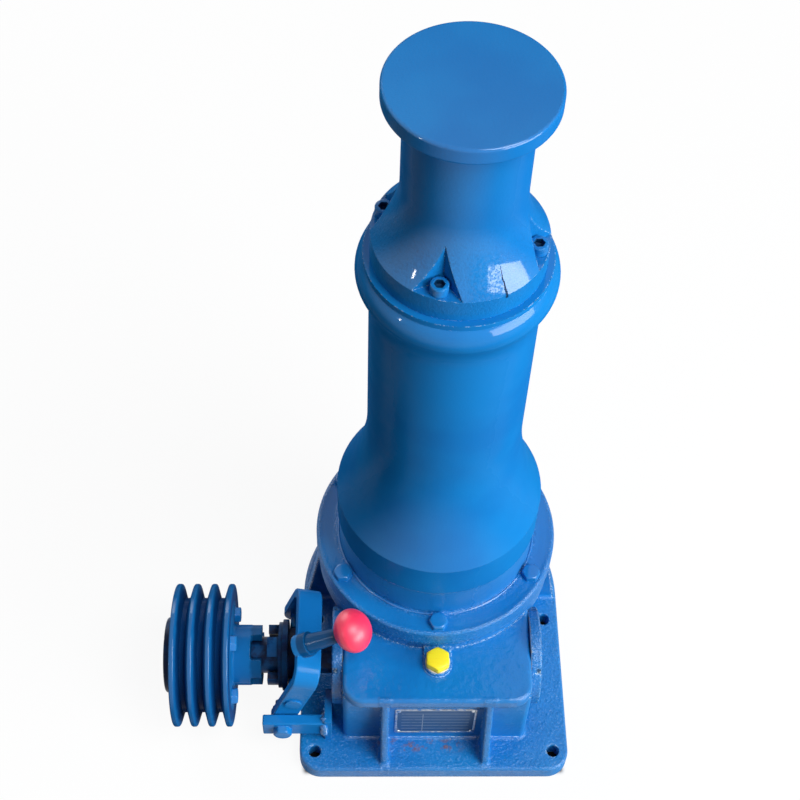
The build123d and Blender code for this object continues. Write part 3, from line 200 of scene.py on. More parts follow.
class Finish:
    """A node tree under construction. Its place is the Object coordinates, in metres."""

    def __init__(self, name, block=None):
        self.block = block or bpy.data.materials.new(name)
        self.block.use_nodes = True
        self.tree = self.block.node_tree
        self.tree.nodes.clear()
        self.paint = bpy.context.scene.capstan_paint
        self.clear_left = 1.0  # share of a clear layer that dust, grain and cracks leave
        self.place = self.node("TexCoord", out="Object")

    def node(self, kind, sockets=None, out=0, **settings):
        """Adds a shader node: its settings first, then the values or wires of its sockets."""
        made = self.tree.nodes.new("ShaderNode" + kind)
        for name, value in settings.items():
            setattr(made, name, value)
        for key, value in (sockets or {}).items():
            if isinstance(value, Wire):
                self.tree.links.new(value.socket, made.inputs[key])
            else:
                made.inputs[key].default_value = value
        return Wire(self, made.outputs[out]) if made.outputs else None

    def axes(self):
        """The X, Y and Z of the place as three wires."""
        split = self.node("SeparateXYZ", {0: self.place}).socket.node
        return [Wire(self, output) for output in split.outputs]

    def axis(self, worm):
        """(place along the worm's axis or else the capstan's, distance from that axis)."""
        x, y, z = self.axes()
        along, a, b = (x, y - WORM_Y, z - WORM_Z) if worm else (z, x, y)
        return along, (a ** 2.0 + b ** 2.0) ** 0.5

    def noise(self, size, detail=2.0, roughness=0.5, at=None):
        """Cloudy noise from 0 to 1 with lumps about size metres across."""
        sockets = {"Vector": at or self.place, "Scale": 1 / size, "Detail": detail, "Roughness": roughness}
        return self.node("TexNoise", sockets)

    def streaks(self, at, detail=3.0, roughness=0.5):
        """Noise at three values in place of X, Y and Z, such as stretched ones."""
        place = self.node("CombineXYZ", dict(enumerate(at)))
        return self.noise(1.0, detail, roughness, place)

    def ramp(self, value, low, high):
        """0 at low, 1 at high and a smooth step between; low may be the larger one."""
        sockets = {"Value": value, "From Min": low, "From Max": high}
        return self.node("MapRange", sockets, interpolation_type="SMOOTHSTEP")

    def span(self, value, low, high):
        """A ramp between two lengths in millimetres."""
        return self.ramp(value, low * MM, high * MM)

    def blend(self, amount, first, second):
        """A colour from first to second."""
        ends = [end if isinstance(end, Wire) else (*end[:3], 1.0) for end in (first, second)]
        sockets = {0: amount, 6: ends[0], 7: ends[1]}
        return self.node("Mix", sockets, 2, data_type="RGBA")

    def rounded(self, radius):
        """A normal with edges rounded to a radius."""
        return self.node("Bevel", {"Radius": radius}, samples=4)

    def edge(self, rounded):
        """How near a point is to an edge, from 0 to 1: how far the rounded normal leans from the plain."""
        plain = self.node("NewGeometry", out="Normal")
        facing = self.node("VectorMath", {0: rounded, 1: plain}, 1, operation="DOT_PRODUCT")
        return self.ramp(facing, 0.985, 0.80)

    def shade(self, tone, height, normal, **sockets):
        """A Principled shader on the output, its normal bent by a height; _ stands for a space in a name."""
        bump = {"Strength": 1.0, "Distance": 1.0, "Height": height, "Normal": normal}
        named = {name.replace("_", " "): value for name, value in sockets.items()}
        named.update({"Base Color": tone, "Normal": self.node("Bump", bump)})
        self.node("OutputMaterial", {"Surface": self.node("BsdfPrincipled", named)})
        return self.block


# Finishes


def dim(tone, share):
    """A colour made darker."""
    return [share * value for value in tone]


def enamel(
    name, peel=1.0, skin=0.0, chips=0.0, gloss=0.09, marks=None, mirror=1.0, rubbed_and_glint=0.25, clear=0.0, soft=1.0
):
    """Blue enamel brushed over iron.

    Its height is orange peel plus the lumps of the casting's skin. The colour drifts from deep to plain
    in clouds and thins on edges, which have pale specks painted on as glints, and a few chips show primer.
    The gloss is duller at a slant. marks adds a piece's own marks to colour and height. rubbed_and_glint is
    the share of the painted glints. mirror is the share of the sheen, and clear that of a smooth clear layer,
    which fades at a slant. soft is how far edges are rounded, as a share of the edge radius.
    """
    cloud, patch, chip, glint_size = 110 * MM, 22 * MM, 7 * MM, 2.4 * MM
    f = Finish(name)
    paint = f.paint
    rounded = f.rounded(paint.edge_radius * soft)
    edge = f.edge(rounded)
    patches = f.noise(patch, 3.0)
    tone = f.blend(f.ramp(f.noise(cloud, 3.0), 0.36, 0.62), paint.enamel_deep, paint.enamel)
    tone = f.blend(edge * f.ramp(patches, 0.35, 0.70) * 0.35, tone, paint.enamel_thin)
    # Painted highlight: pale specks along edges stand in for glints.
    painted_glints = f.ramp(f.noise(glint_size, 1.0), 0.53, 0.60) * f.ramp(edge, 0.25, 0.7)
    tone = f.blend(painted_glints * rubbed_and_glint, tone, paint.enamel_glint)
    height = f.noise(paint.peel_size, 2.0) * (paint.peel_height * peel)
    rough = gloss + f.ramp(patches, 0.40, 0.75) * 0.10
    if chips:
        bare = f.ramp(f.noise(chip, 4.0, 0.6), 0.68, 0.72) * f.ramp(edge, 0.35, 0.8) * chips
        tone = f.blend(bare, tone, paint.primer)
        height = height - bare * (0.15 * MM)
        rough = rough + bare * 0.35
    if skin:
        lumps = f.noise(paint.skin_size, 3.0, 0.55) + f.noise(3 * paint.skin_size, 2.0) * 1.5
        height = height + lumps * (paint.skin_height * skin)
    if marks:
        tone, height = marks(f, tone, height)
    slant = f.node("LayerWeight", {"Blend": 0.5}, "Facing")
    rough = rough + f.ramp(slant, 0.50, 0.76) * 0.55
    sockets = {"Roughness": rough, "Specular_IOR_Level": mirror * paint.sheen}
    if clear:
        sockets["Coat_Weight"] = f.ramp(slant, 0.42, 0.20) * (f.clear_left * clear)
        sockets["Coat_Roughness"] = 0.07
    return f.shade(tone, height, rounded, **sockets)


def grit(f, tone, height, where):
    """Colour and height roughened where paint runs over coarse casting: painted shade darkens its pits and
    painted glints lighten its grains.
    """
    grains = f.noise(f.paint.rough_size, 3.0, 0.55)
    # Painted shade: darker blue in the pits between grains.
    tone = f.blend(f.ramp(grains, 0.48, 0.34) * where * 0.30, tone, dim(f.paint.enamel_deep, 0.4))
    # Painted highlight: pale blue on the tops of grains stands in for glints.
    painted_glint_grains = f.ramp(grains, 0.56, 0.70) * f.ramp(where, 0.5, 1.0)
    tone = f.blend(painted_glint_grains * 0.13, tone, f.paint.enamel_glint)
    return tone, height + grains * where * f.paint.rough_height


def cover_marks(f, tone, height):
    """Grit, with painted glints and painted shade, on the flange's rim, at the collar's foot and on the worm
    covers, which lie under the flange.
    """
    rim, collar, under = 130, 107, 150
    z, out = f.axis(False)
    foot = f.span(abs(out - collar * MM), 9, 2) * f.span(z, 186, 174)
    where = f.span(out, rim - 7, rim) | foot | f.span(z, under, under - 2)
    return grit(f, tone, height, where)


def turned_marks(f, tone, height):
    """Faint rings that the lathe left under the paint: noise that changes with height only."""
    return tone, height + f.streaks([0.0, 0.0, f.axes()[2] / (3 * MM)], 1.0) * (0.02 * MM)


def head_marks(f, tone, height):
    """The lathe's rings, grit on the flare with its painted glints and shade, and the casting's short open
    seam that narrows as it climbs, painted near-black as the shade inside it.

    Beside the seam the clear layer lies on coarse grain, which breaks it up.
    """
    angle, foot, tall = math.radians(-62.1), 660 * MM, 27 * MM
    flare, coarse_top = 730, 705
    tone, height = turned_marks(f, tone, height)
    x, y, z = f.axes()
    beside = x * -math.sin(angle) + y * math.cos(angle) + (f.noise(6 * MM, 3.0) - 0.5) * (2.2 * MM)
    climb = (z - foot) / tall
    front = f.span(y, -10, -30) * f.span(x, 0, 10)
    seam = f.span(abs(beside) / (1.05 - climb), 1.5, 0.7) * f.ramp(climb, 0.98, 0.9) * front
    seam = seam * f.ramp(climb, -0.02, 0.02)
    # Painted shade: the seam is painted near-black as the shade inside it.
    tone = f.blend(seam * 0.9, tone, (0.004, 0.02, 0.06))
    coarse = f.span(beside, 2, -2) * f.span(z, coarse_top, coarse_top - 15) * front
    coarse = coarse * f.ramp(f.noise(2.4 * MM, 2.0), 0.42, 0.56)
    f.clear_left = (1.0 - seam) * (1.0 - coarse * 0.75)
    tone, height = grit(f, tone, height, f.span(z, flare, flare - 40) * 0.45 + 0.05)
    return tone, height - seam * (0.8 * MM)


def case_marks(f, tone, height):
    """Primer at the foot of the front wall, pinholes, and grit with painted glints and painted shade on ribs,
    top edge and base plate.
    """
    rib, top_edge = 56, 129
    worn_x, worn_y = -18, -193
    x, y, z = f.axes()
    out = f.axis(False)[1]
    foot = f.span(abs(y - worn_y * MM), 11, 3) * f.span(z, 34, 22)
    foot = foot * f.span(abs(x - worn_x * MM), 62, 30)
    scuffs = foot * f.ramp(f.noise(9 * MM, 5.0, 0.65), 0.50, 0.66)
    tone = f.blend(scuffs * 0.8, tone, f.paint.primer)
    pores = f.ramp(f.noise(5 * MM, 2.0), 0.75, 0.80)
    tone = f.blend(pores * 0.5, tone, (0.003, 0.05, 0.17))
    ribs = f.span(abs(abs(x) - rib * MM), 9, 5) * f.span(y, -185, -189)
    boss = f.span(out, top_edge - 7, top_edge) * f.span(z, 128, 137)
    plate = f.span(z, BASE_TOP + 7, BASE_TOP) * 0.8
    where = ribs | boss * f.span(out, top_edge + 11, top_edge + 2) | plate
    tone, height = grit(f, tone, height, where)
    return tone, height - pores * (0.3 * MM)


def pulley_marks(f, tone, height):
    """Darker paint, dark navy painted into the groove floors as shade, by the distance from the worm's axis,
    and the lathe's rings.
    """
    rim, floor = 76, 61
    x, out = f.axis(True)
    dust_and_shade = f.span(out + (f.noise(12 * MM, 3.0) - 0.5) * (6 * MM), rim, rim - 6)
    groove = dust_and_shade * f.span(out, floor - 3, floor)
    tone = f.blend(0.65, tone, dim(f.paint.enamel_deep, 0.45))
    # Painted shade: dark navy in the groove floors.
    tone = f.blend(groove * 0.7, tone, (0.002, 0.024, 0.13))
    f.clear_left = 1.0 - groove
    return tone, height + f.streaks([x / (2 * MM), out / (2 * MM), 0.0], 1.0) * (0.03 * MM)


def jaw_marks(f, tone, height):
    """Darker paint than the case's, and oil on the jaws, which darkens it further towards the clutch."""
    clutch = -200
    x = f.axes()[0] + (f.noise(8 * MM, 3.0) - 0.5) * (6 * MM)
    oil = f.span(x, clutch - 5, clutch) * 0.4 + 0.3
    return f.blend(oil, tone, dim(f.paint.enamel_deep, 0.2)), height


def rod_marks(f, tone, height, amount=1.0):
    """Thicker, darker paint on the handle."""
    return f.blend(amount * 0.8, tone, dim(f.paint.enamel_deep, 0.28)), height


def bar_marks(f, tone, height):
    """The handle's darker paint on its boss: near the handle's line, past its root on the yoke."""
    reach = 14
    root = Vector((-144.9, -133.0, 148.2)) * MM
    x, y, z = (part - start for part, start in zip(f.axes(), root))
    along = x * math.sin(HANDLE_LEAN) + z * math.cos(HANDLE_LEAN)
    out = (x ** 2.0 + y ** 2.0 + z ** 2.0 - along ** 2.0) ** 0.5
    boss = f.span(out, reach + 0.5, reach - 0.5) * f.span(along, -0.5, 1.5)
    return rod_marks(f, tone, height, boss)


def machined(name, base, rough, worm=False, metal=1.0, stain=0.5, overspray=0.0, mirror=0.5):
    """Turned metal: fine rings round its axis, a cloudy oil film and rubbed edges.

    The rings are noise of the place along the axis and of the distance from it.
    """
    pitch = 0.7 * MM
    f = Finish(name)
    rounded = f.rounded(0.8 * MM)
    along, out = f.axis(worm)
    lathe = f.streaks([along / pitch, out / pitch, 0.0], 3.0, 0.6)
    film = f.ramp(f.noise(14 * MM, 4.0, 0.6), 0.42, 0.68)
    tone = f.blend(film * stain, base, dim(base, 0.35))
    tone = f.blend(f.edge(rounded) * 0.5, tone, [min(1.0, 1.5 * value + 0.03) for value in base])
    if overspray:
        sprayed = f.ramp(f.noise(18 * MM, 4.0, 0.6), 0.46, 0.62) * overspray
        tone = f.blend(sprayed, tone, dim(f.paint.enamel_deep, 0.5))
        metal = metal * (1.0 - sprayed) if metal else 0.0
    shine = rough + lathe * 0.15 - film * 0.08
    height = (lathe + f.noise(2 * MM, 2.0)) * (0.02 * MM)
    return f.shade(tone, height, rounded, Metallic=metal, Roughness=shine, Specular_IOR_Level=mirror)


def sleeve_iron(name):
    """Oiled black iron of the clutch sleeve, blue on its jaws, with rust-brown grease in its groove."""
    pitch, jaw, groove = 0.9 * MM, -172, 34
    f = Finish(name)
    deep = f.paint.enamel_deep
    rounded = f.rounded(1.0 * MM)
    x, out = f.axis(True)
    lathe = f.streaks([x / pitch, out / pitch, 0.0], 3.0, 0.6)
    film = f.noise(11 * MM, 4.0, 0.6)
    tone = f.blend(f.ramp(film, 0.38, 0.58) * 0.85, f.paint.iron, dim(deep, 0.22))
    jaws = f.span(x, jaw, jaw - 4) * f.ramp(film, 0.30, 0.50)
    tone = f.blend(jaws * 0.6, tone, dim(deep, 0.6))
    grease = f.span(out, groove, groove - 3.5) * f.ramp(film, 0.38, 0.60)
    tone = f.blend(grease * 0.7, tone, (0.040, 0.020, 0.012))
    tone = f.blend(f.edge(rounded) * 0.4, tone, (0.03, 0.06, 0.12))
    shine = 0.30 + lathe * 0.12 + grease * 0.1
    height = (lathe * 0.03 + film * 0.15) * MM
    return f.shade(tone, height, rounded, Roughness=shine, Specular_IOR_Level=0.15 * f.paint.sheen)


def soft_sheet(name, base, grain, overspray=0.0):
    """Rubber or gasket sheet: matt, finely grained and dusty, with blue where it was painted over."""
    f = Finish(name)
    dust_and_shade = f.noise(9 * MM, 4.0, 0.6)
    tone = f.blend(f.ramp(dust_and_shade, 0.45, 0.75) * 0.5, base, [value + 0.03 for value in base])
    if overspray:
        sprayed = f.ramp(f.noise(6 * MM, 3.0), 0.40, 0.55) * overspray
        tone = f.blend(sprayed, tone, f.paint.enamel_deep)
    height = f.noise(grain, 3.0) * (0.08 * MM)
    return f.shade(tone, height, f.rounded(0.4 * MM), Roughness=0.55 + dust_and_shade * 0.25)


def knob_plastic(name):
    """Moulded red plastic: slight ripple, hair scratches and the mould's parting line round the middle."""
    f = Finish(name)
    middle = sum(corners("ball_knob")) / 2
    x, y, z = f.axes()
    along = (x - middle[0]) * math.sin(HANDLE_LEAN) + (z - middle[2]) * math.cos(HANDLE_LEAN)
    parting = f.span(abs(along), 0.7, 0.2)
    clouds = f.noise(16 * MM, 3.0)
    hairs = f.ramp(f.streaks([x / (9 * MM), y / (0.5 * MM), z / (3 * MM)], 2.0), 0.62, 0.72)
    tone = f.blend(f.ramp(clouds, 0.35, 0.7) * 0.5, f.paint.knob, dim(f.paint.knob, 0.72))
    height = (f.noise(7 * MM, 2.0) * 0.12 + parting * 0.08 - hairs * 0.012) * MM
    rough = 0.34 + hairs * 0.12 + clouds * 0.08
    return f.shade(tone, height, f.rounded(0.6 * MM), Roughness=rough, Specular_IOR_Level=0.8)


def plug_paint(name):
    """Yellow paint dabbed on a steel plug: brush ridges, dark metal at worn corners, darker and browner
    towards the foot.
    """
    f = Finish(name)
    rounded = f.rounded(1.4 * MM)
    x, y, z = f.axes()
    brush = f.streaks([x / (9 * MM), y / (1.6 * MM), z / (5 * MM)])
    patches = f.noise(5 * MM, 4.0, 0.6)
    foot = corners("oil_filler_plug")[1][2] - bpy.context.scene.capstan_bolts.plug_head
    tone = f.blend(f.ramp(brush, 0.4, 0.7) * 0.25, f.paint.plug, (0.88, 0.62, 0.006))
    worn = f.ramp(patches, 0.55, 0.62) * f.ramp(f.edge(rounded), 0.3, 0.8)
    tone = f.blend(worn * 0.8, tone, (0.09, 0.07, 0.05))
    # Darker and browner towards the plug's foot.
    foot_darkening = f.ramp(z, foot + 3.5 * MM, foot) * f.ramp(patches, 0.30, 0.60)
    tone = f.blend(foot_darkening * 0.6, tone, (0.16, 0.13, 0.07))
    height = (brush * 0.25 + patches * 0.10 - worn * 0.12) * MM
    return f.shade(tone, height, rounded, Roughness=0.30 + patches * 0.15)


def plate_metal(name):
    """Brushed aluminium: fine lines along X, dull spots and flecks of blue from the brush."""
    f = Finish(name)
    x, y, z = f.axes()
    lines = f.streaks([x / (8 * MM), y / (1 * MM), z / (0.35 * MM)], 3.0, 0.6)
    spots = f.noise(5 * MM, 4.0, 0.6)
    tone = f.blend(f.ramp(spots, 0.45, 0.65) * 0.6, f.paint.plate, dim(f.paint.plate, 0.45))
    flecks = f.ramp(f.noise(8 * MM, 4.0, 0.6), 0.52, 0.58)
    tone = f.blend(flecks * 0.8, tone, f.paint.enamel_deep)
    shine = 0.32 + lines * 0.2
    soft = f.rounded(0.3 * MM)
    return f.shade(tone, lines * (0.02 * MM), soft, Metallic=1.0 - flecks, Roughness=shine)


def plate_ground(name):
    """Dark etched ground of the plate with blank ruled lines, bare metal where they are cut.

    A line lies where the height above the plate's foot, counted in rows, is near a whole number and a half.
    """
    rows, margin, column, thick, thin = 8, 7 * MM, -14 * MM, 0.45, 0.30
    f = Finish(name)
    x, _, z = f.axes()
    low, high = corners("nameplate")
    row = (high[2] - low[2]) / rows
    half = (high[0] - low[0]) / 2 - margin
    rubbed_and_glint = f.noise(4 * MM, 4.0, 0.6)
    beside = abs((z - low[2]) % row - row / 2)
    ruled = f.span(beside, thick, thin) * f.ramp(abs(x), half, half - 0.4 * MM)
    divider = f.span(abs(x - column), thick, thin) * f.ramp(z, high[2] - 1.5 * row, high[2] - 1.55 * row)
    divider = divider * f.ramp(z, low[2] + 0.5 * row, low[2] + 0.55 * row)
    cut = (ruled | divider) * f.ramp(rubbed_and_glint, 0.25, 0.50)
    tone = f.blend(f.ramp(rubbed_and_glint, 0.50, 0.75) * 0.35, f.paint.plate_field, (0.06, 0.12, 0.22))
    tone = f.blend(cut * 0.75, tone, f.paint.plate)
    height = (rubbed_and_glint * 0.05 - cut * 0.1) * MM
    shine = 0.30 + rubbed_and_glint * 0.2
    return f.shade(tone, height, f.rounded(0.3 * MM), Metallic=cut * 0.6, Roughness=shine)


def coat(material, *nodes):
    """Gives CAD nodes a material through their objects' own slots."""
    for node in nodes:
        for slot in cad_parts[node].material_slots:
            slot.material = material


# Surfaces


def link(name, data):
    """A new object in the scene."""
    made = bpy.data.objects.new(name, data)
    bpy.context.scene.collection.objects.link(made)
    return made


def corners(node):
    """A CAD node's lowest and highest corner."""
    return [np.array(corner, float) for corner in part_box(node)]


def turn(count):
    """Angles of a closed ring of points."""
    return np.arange(count) * (2 * np.pi / count)


def hexagon(angle, flats, sharp):
    """Radius of a hexagon with soft corners, one corner at angle 0.

    With c the cosine of the angle to a face, a half the width across flats and p the sharpness, 1 / r to
    the power p is the sum over the six faces of (c / a) to the power p, where c is above 0.
    """
    faces = np.radians(30 + 60 * np.arange(6))
    near = np.maximum(np.cos(angle[:, None] - faces), 0) / (flats / 2)
    return (near**sharp).sum(1) ** (-1 / sharp)


def rings(angle, profile):
    """Rings round local Z from rows of (radius, height), each a number or an array round the ring.

    x = radius cos(angle), y = radius sin(angle), z = height.
    """
    radius, height = (np.array([np.broadcast_to(row[i], angle.shape) for row in profile]) for i in (0, 1))
    return np.stack([radius * np.cos(angle), radius * np.sin(angle), height], -1)


def skin(grid, wrap=False, zones=0):
    """(points, faces, zones) of a grid of rings: four-cornered faces between rings, closed round each ring.

    The ends are closed by a fan to their middle, or with wrap the last ring joins the first. A face with
    three corners has -1 as its fourth. zones is a number for each step from ring to ring.
    """
    count, around = grid.shape[:2]
    step = np.arange(count if wrap else count - 1)[:, None]
    here = np.arange(around)
    there = (here + 1) % around
    above = (step + 1) % count
    quads = [step * around + here, step * around + there, above * around + there, above * around + here]
    faces = np.stack(quads, -1).reshape(-1, 4)
    zone = np.repeat(np.broadcast_to(zones, len(step)), around)
    points = grid.reshape(-1, 3)
    if not wrap:
        middle = count * around
        last = middle - around
        none = np.full(around, -1)
        floor = np.stack([there, here, np.full(around, middle), none], -1)
        roof = np.stack([last + here, last + there, np.full(around, middle + 1), none], -1)
        points = np.concatenate([points, grid[[0, -1]].mean(1)])
        faces = np.concatenate([faces, floor, roof])
        zone = np.concatenate([zone, zone[:around], zone[-around:]])
    return points, faces, zone


def placed(form, origin, x, y, z):
    """A skin with its local axes laid along x, y and z from an origin."""
    points, faces, zone = form
    return points @ np.array([x, y, z]) + np.array(origin), faces, zone


def in_circle(form, count, first, radius, middle, x, y, z):
    """Copies of a skin spread round a circle, the first at an angle in degrees, each laid along x, y and z.

    A copy's origin is middle + radius (x cos(angle) + y sin(angle)).
    """
    out = [radius * (np.cos(angle) * x + np.sin(angle) * y) for angle in np.radians(first) + turn(count)]
    return [placed(form, middle + shift, x, y, z) for shift in out]


def piece(name, forms, finishes, nodes=(), crease=38, body="housing"):
    """One object from skins at the origin, its points already in place. It rides on a body."""
    points, faces, zones = zip(*forms)
    starts = np.cumsum([0, *map(len, points)])
    faces = np.concatenate([np.where(part < 0, -1, part + start) for part, start in zip(faces, starts)])
    zone = np.concatenate(zones)
    four = faces[:, 3] >= 0
    mesh = bpy.data.meshes.new(name)
    sides = faces[four].tolist() + faces[~four, :3].tolist()
    mesh.from_pydata(np.concatenate(points).tolist(), [], sides, shade_flat=False)
    for finish in finishes:
        mesh.materials.append(finish)
    mesh.polygons.foreach_set("material_index", np.concatenate([zone[four], zone[~four]]).astype(np.int32))
    mesh.set_sharp_from_angle(angle=math.radians(crease))
    mesh.update()
    made = link(name, mesh)
    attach(made, body)
    if nodes:
        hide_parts(*nodes)


def coned(flats):
    """(angles, radius r of the soft hexagon, top radius t of its cone, drop of the cone at the edge).

    The drop is (r - t) tan(chamfer), so the corners fall in arcs.
    """
    bolts = bpy.context.scene.capstan_bolts
    angle = turn(84)
    hexed = hexagon(angle, flats, bolts.corner)
    top = 0.46 * flats
    return angle, hexed, top, (hexed - top) * math.tan(bolts.chamfer)


def hex_head(flats, height, shank, depth, foot=0.5 * MM, dome=0.0):
    """A painted hex bolt from its shank's end to its coned crown, seat at z = 0.

    foot is the flare of paint at the seat, and dome how far the crown rises to its middle.
    """
    angle, hexed, top, drop = coned(flats)
    edge = height - drop
    profile = [
        (shank - 1.0 * MM, -depth), (shank, -depth + 1.0 * MM),
        (shank, -0.3 * MM), (hexed - 0.6 * MM, -0.3 * MM),
        (hexed + foot, -0.2 * MM), (hexed + 0.45 * foot, 0.5 * foot),
        (hexed + 0.1 * foot, 1.1 * foot), (hexed, 2.2 * foot),
        (hexed, edge - 0.55 * MM), (hexed - 0.10 * MM, edge - 0.20 * MM),
        (hexed - 0.38 * MM, edge + 0.05 * MM),
        (0.5 * (hexed + top) - 0.2 * MM, 0.5 * (edge + height) + 0.03 * MM),
        (top, height - 0.12 * MM), (top - 0.7 * MM, height),
        (0.55 * top, height + 0.75 * dome), (0.2 * top, height + dome),
    ]
    return skin(rings(angle, profile))


def socket_head(thread, radius, flats, depth, knurls):
    """A cap screw: knurled head with a rounded crown and a hex socket, seat at z = 0; zone 1 is the socket.

    In the knurled band the radius is R - k (1 + cos(n angle)) / 2, with n ridges of depth k. The head is as
    high as the thread is wide, and the socket half as deep.
    """
    height, shank, sink = thread, thread / 2, thread / 2
    angle = turn(4 * knurls)
    deep = 0.035 * radius
    ridged = radius - deep * (0.5 + 0.5 * np.cos(knurls * angle))
    hexed = hexagon(angle, flats, 60)
    lip = 0.12 * radius
    profile = [
        (shank - 0.6 * MM, -depth), (shank, -depth + 0.6 * MM),
        (shank, -0.2 * MM), (radius - lip, -0.2 * MM),
        (radius, 0.4 * lip), (radius, 0.10 * height),
        (ridged, 0.16 * height), (ridged, 0.74 * height),
        (radius, 0.80 * height), (radius, height - lip),
        (radius - 0.3 * lip, height - 0.3 * lip), (radius - lip, height),
        (1.10 * hexed, height), (hexed, height - 0.05 * radius),
        (hexed, sink), (0.6 * hexed, sink - 0.1 * radius),
    ]
    return skin(rings(angle, profile), zones=np.arange(len(profile) - 1) >= 12)


def hex_nut(flats, height, bore):
    """A painted hex nut with both faces coned, as a closed band of rings round its bore."""
    angle, hexed, top, drop = coned(flats)
    profile = [
        (bore, 0.0), (top, 0.0),
        (hexed - 0.2 * MM, drop), (hexed, drop + 0.4 * MM),
        (hexed, height - drop - 0.4 * MM), (hexed - 0.2 * MM, height - drop),
        (top, height), (bore + 1.0 * MM, height),
        (bore, height - 1.0 * MM),
    ]
    return skin(rings(angle, profile), wrap=True)


def domed_rivet(radius, height):
    """A rivet's head: radius R cos(t) and height h sin(t) as t goes from 0 to a quarter turn."""
    t = np.linspace(0, 0.48 * np.pi, 7)
    profile = [(0.5 * radius, -0.4 * MM), (radius, -0.4 * MM)]
    profile += list(zip(radius * np.cos(t), height * np.sin(t)))
    return skin(rings(turn(28), profile))


def rounded_plate(width, tall, corner, thick, rim, raised):
    """A plate with round corners and a raised rim; zone 1 is the field inside it.

    A ring at distance d inside the outline has half sides less d and corner radius less d, its points
    spread over four quarter turns. The field is such a ring closed to its middle.
    """
    quarter = np.linspace(0, np.pi / 2, 9)
    angle = np.concatenate([quarter + k * np.pi / 2 for k in range(4)])
    side_x = np.repeat([1, -1, -1, 1], 9) * (width / 2 - corner)
    side_y = np.repeat([1, 1, -1, -1], 9) * (tall / 2 - corner)

    def ring(inset, height):
        reach = max(corner - inset, 0.3 * MM)
        shift = max(inset - corner + reach, 0)
        x = side_x - np.sign(side_x) * shift + reach * np.cos(angle)
        y = side_y - np.sign(side_y) * shift + reach * np.sin(angle)
        return np.stack([x, y, np.full(len(angle), height)], -1)

    rows = [
        (0.0, 0.0), (0.0, thick - 0.25 * MM),
        (0.08 * MM, thick - 0.08 * MM), (0.25 * MM, thick),
        (rim - 0.15 * MM, thick), (rim, thick - 0.10 * MM),
        (rim + 0.1 * MM, thick - raised), (rim + 1.5 * MM, thick - raised),
    ]
    return skin(np.array([ring(*row) for row in rows]), zones=np.arange(len(rows) - 1) >= 6)


def bead_along(seam, half, step, seed):
    """A weld bead on a straight seam: rings round the seam whose radius swells and falls at each ripple.

    seam is (start, end, way out), in millimetres. At a share s of its length the radius is
    half (0.8 + 0.28 w) taper(s) (1 + 0.12 lump(s)), where w falls from 1 to 0 over each ripple, taper is
    the square root of the distance to the nearer end, up to 1, and lump is a sum of three seeded sines.
    The rings lean back along the seam in a V as ripples do.
    """
    start, end, out = np.array(seam, float) * [[MM], [MM], [1]]
    span = np.linalg.norm(end - start)
    along = (end - start) / span
    out = out / np.linalg.norm(out)
    side = np.cross(along, out)
    s = np.linspace(0, 1, max(24, int(span / step * 9)))
    draw = np.random.default_rng(seed)
    lump = (np.sin(np.outer(s * span / (7 * MM), [1.0, 1.7, 2.9]) + draw.uniform(0, 6.3, 3))).sum(1) / 3
    ripple = 1 - (s * span / step) % 1
    near = np.minimum(s, 1 - s) * span
    taper = np.sqrt(np.clip(near / (1.1 * half), 0.02, 1))
    radius = half * (0.80 + 0.28 * ripple) * taper * (1 + 0.12 * lump)
    angle = turn(16)
    lean = 0.35 * half * np.sin(angle) ** 2
    grid = (
        start
        + (s * span)[:, None, None] * along
        + radius[:, None, None] * (np.cos(angle)[:, None] * out + np.sin(angle)[:, None] * side)
        - (taper[:, None] * lean)[..., None] * along
    )
    return skin(grid)


def bead_ring(middle, radius, half, seed):
    """Thick paint in a ring at a collar's foot: a torus whose thickness wanders round the ring.

    middle and radius are in millimetres. Thickness = half (1 + 0.35 sum of seven seeded sines of the angle).
    """
    draw = np.random.default_rng(seed)
    a = turn(240)
    waves = np.arange(2, 30, 4)
    wander = np.sin(np.outer(a, waves) + draw.uniform(0, 6.3, len(waves))) / np.sqrt(waves)
    thick = half * (1 + 0.35 * wander.sum(1))
    b = turn(14)
    out = radius * MM + thick[:, None] * np.cos(b)
    grid = np.stack([out * np.cos(a)[:, None], out * np.sin(a)[:, None], thick[:, None] * np.sin(b)], -1)
    return skin(grid[:, ::-1] + np.array(middle) * MM, wrap=True)


# Operators


class CAPSTAN_OT_castings(Operator):
    """Paint the gear case, its cover and the worm covers"""

    bl_idname = "capstan.castings"
    bl_label = "Castings"

    def execute(self, context):
        case = enamel("case_enamel", 1.5, 1.0, gloss=0.07, marks=case_marks, rubbed_and_glint=0.8, soft=2.2)
        coat(case, "gearbox_housing")
        cover = enamel("cover_enamel", 2.4, 0.45, gloss=0.07, marks=cover_marks, rubbed_and_glint=0.8, soft=2.0)
        coat(cover, "top_cover", "worm_cover_left", "worm_cover_right")
        return {"FINISHED"}


class CAPSTAN_OT_drum(Operator):
    """Paint the rope drum and the warping head"""

    bl_idname = "capstan.drum"
    bl_label = "Drum and Head"

    def execute(self, context):
        drum = enamel("drum_enamel", 1.2, gloss=0.14, marks=turned_marks, mirror=0.03, rubbed_and_glint=0.6, clear=0.5)
        coat(drum, "capstan_drum")
        head = enamel("head_enamel", 1.7, gloss=0.10, marks=head_marks, mirror=0.04, rubbed_and_glint=0.6, clear=0.9)
        coat(head, "warping_head")
        return {"FINISHED"}


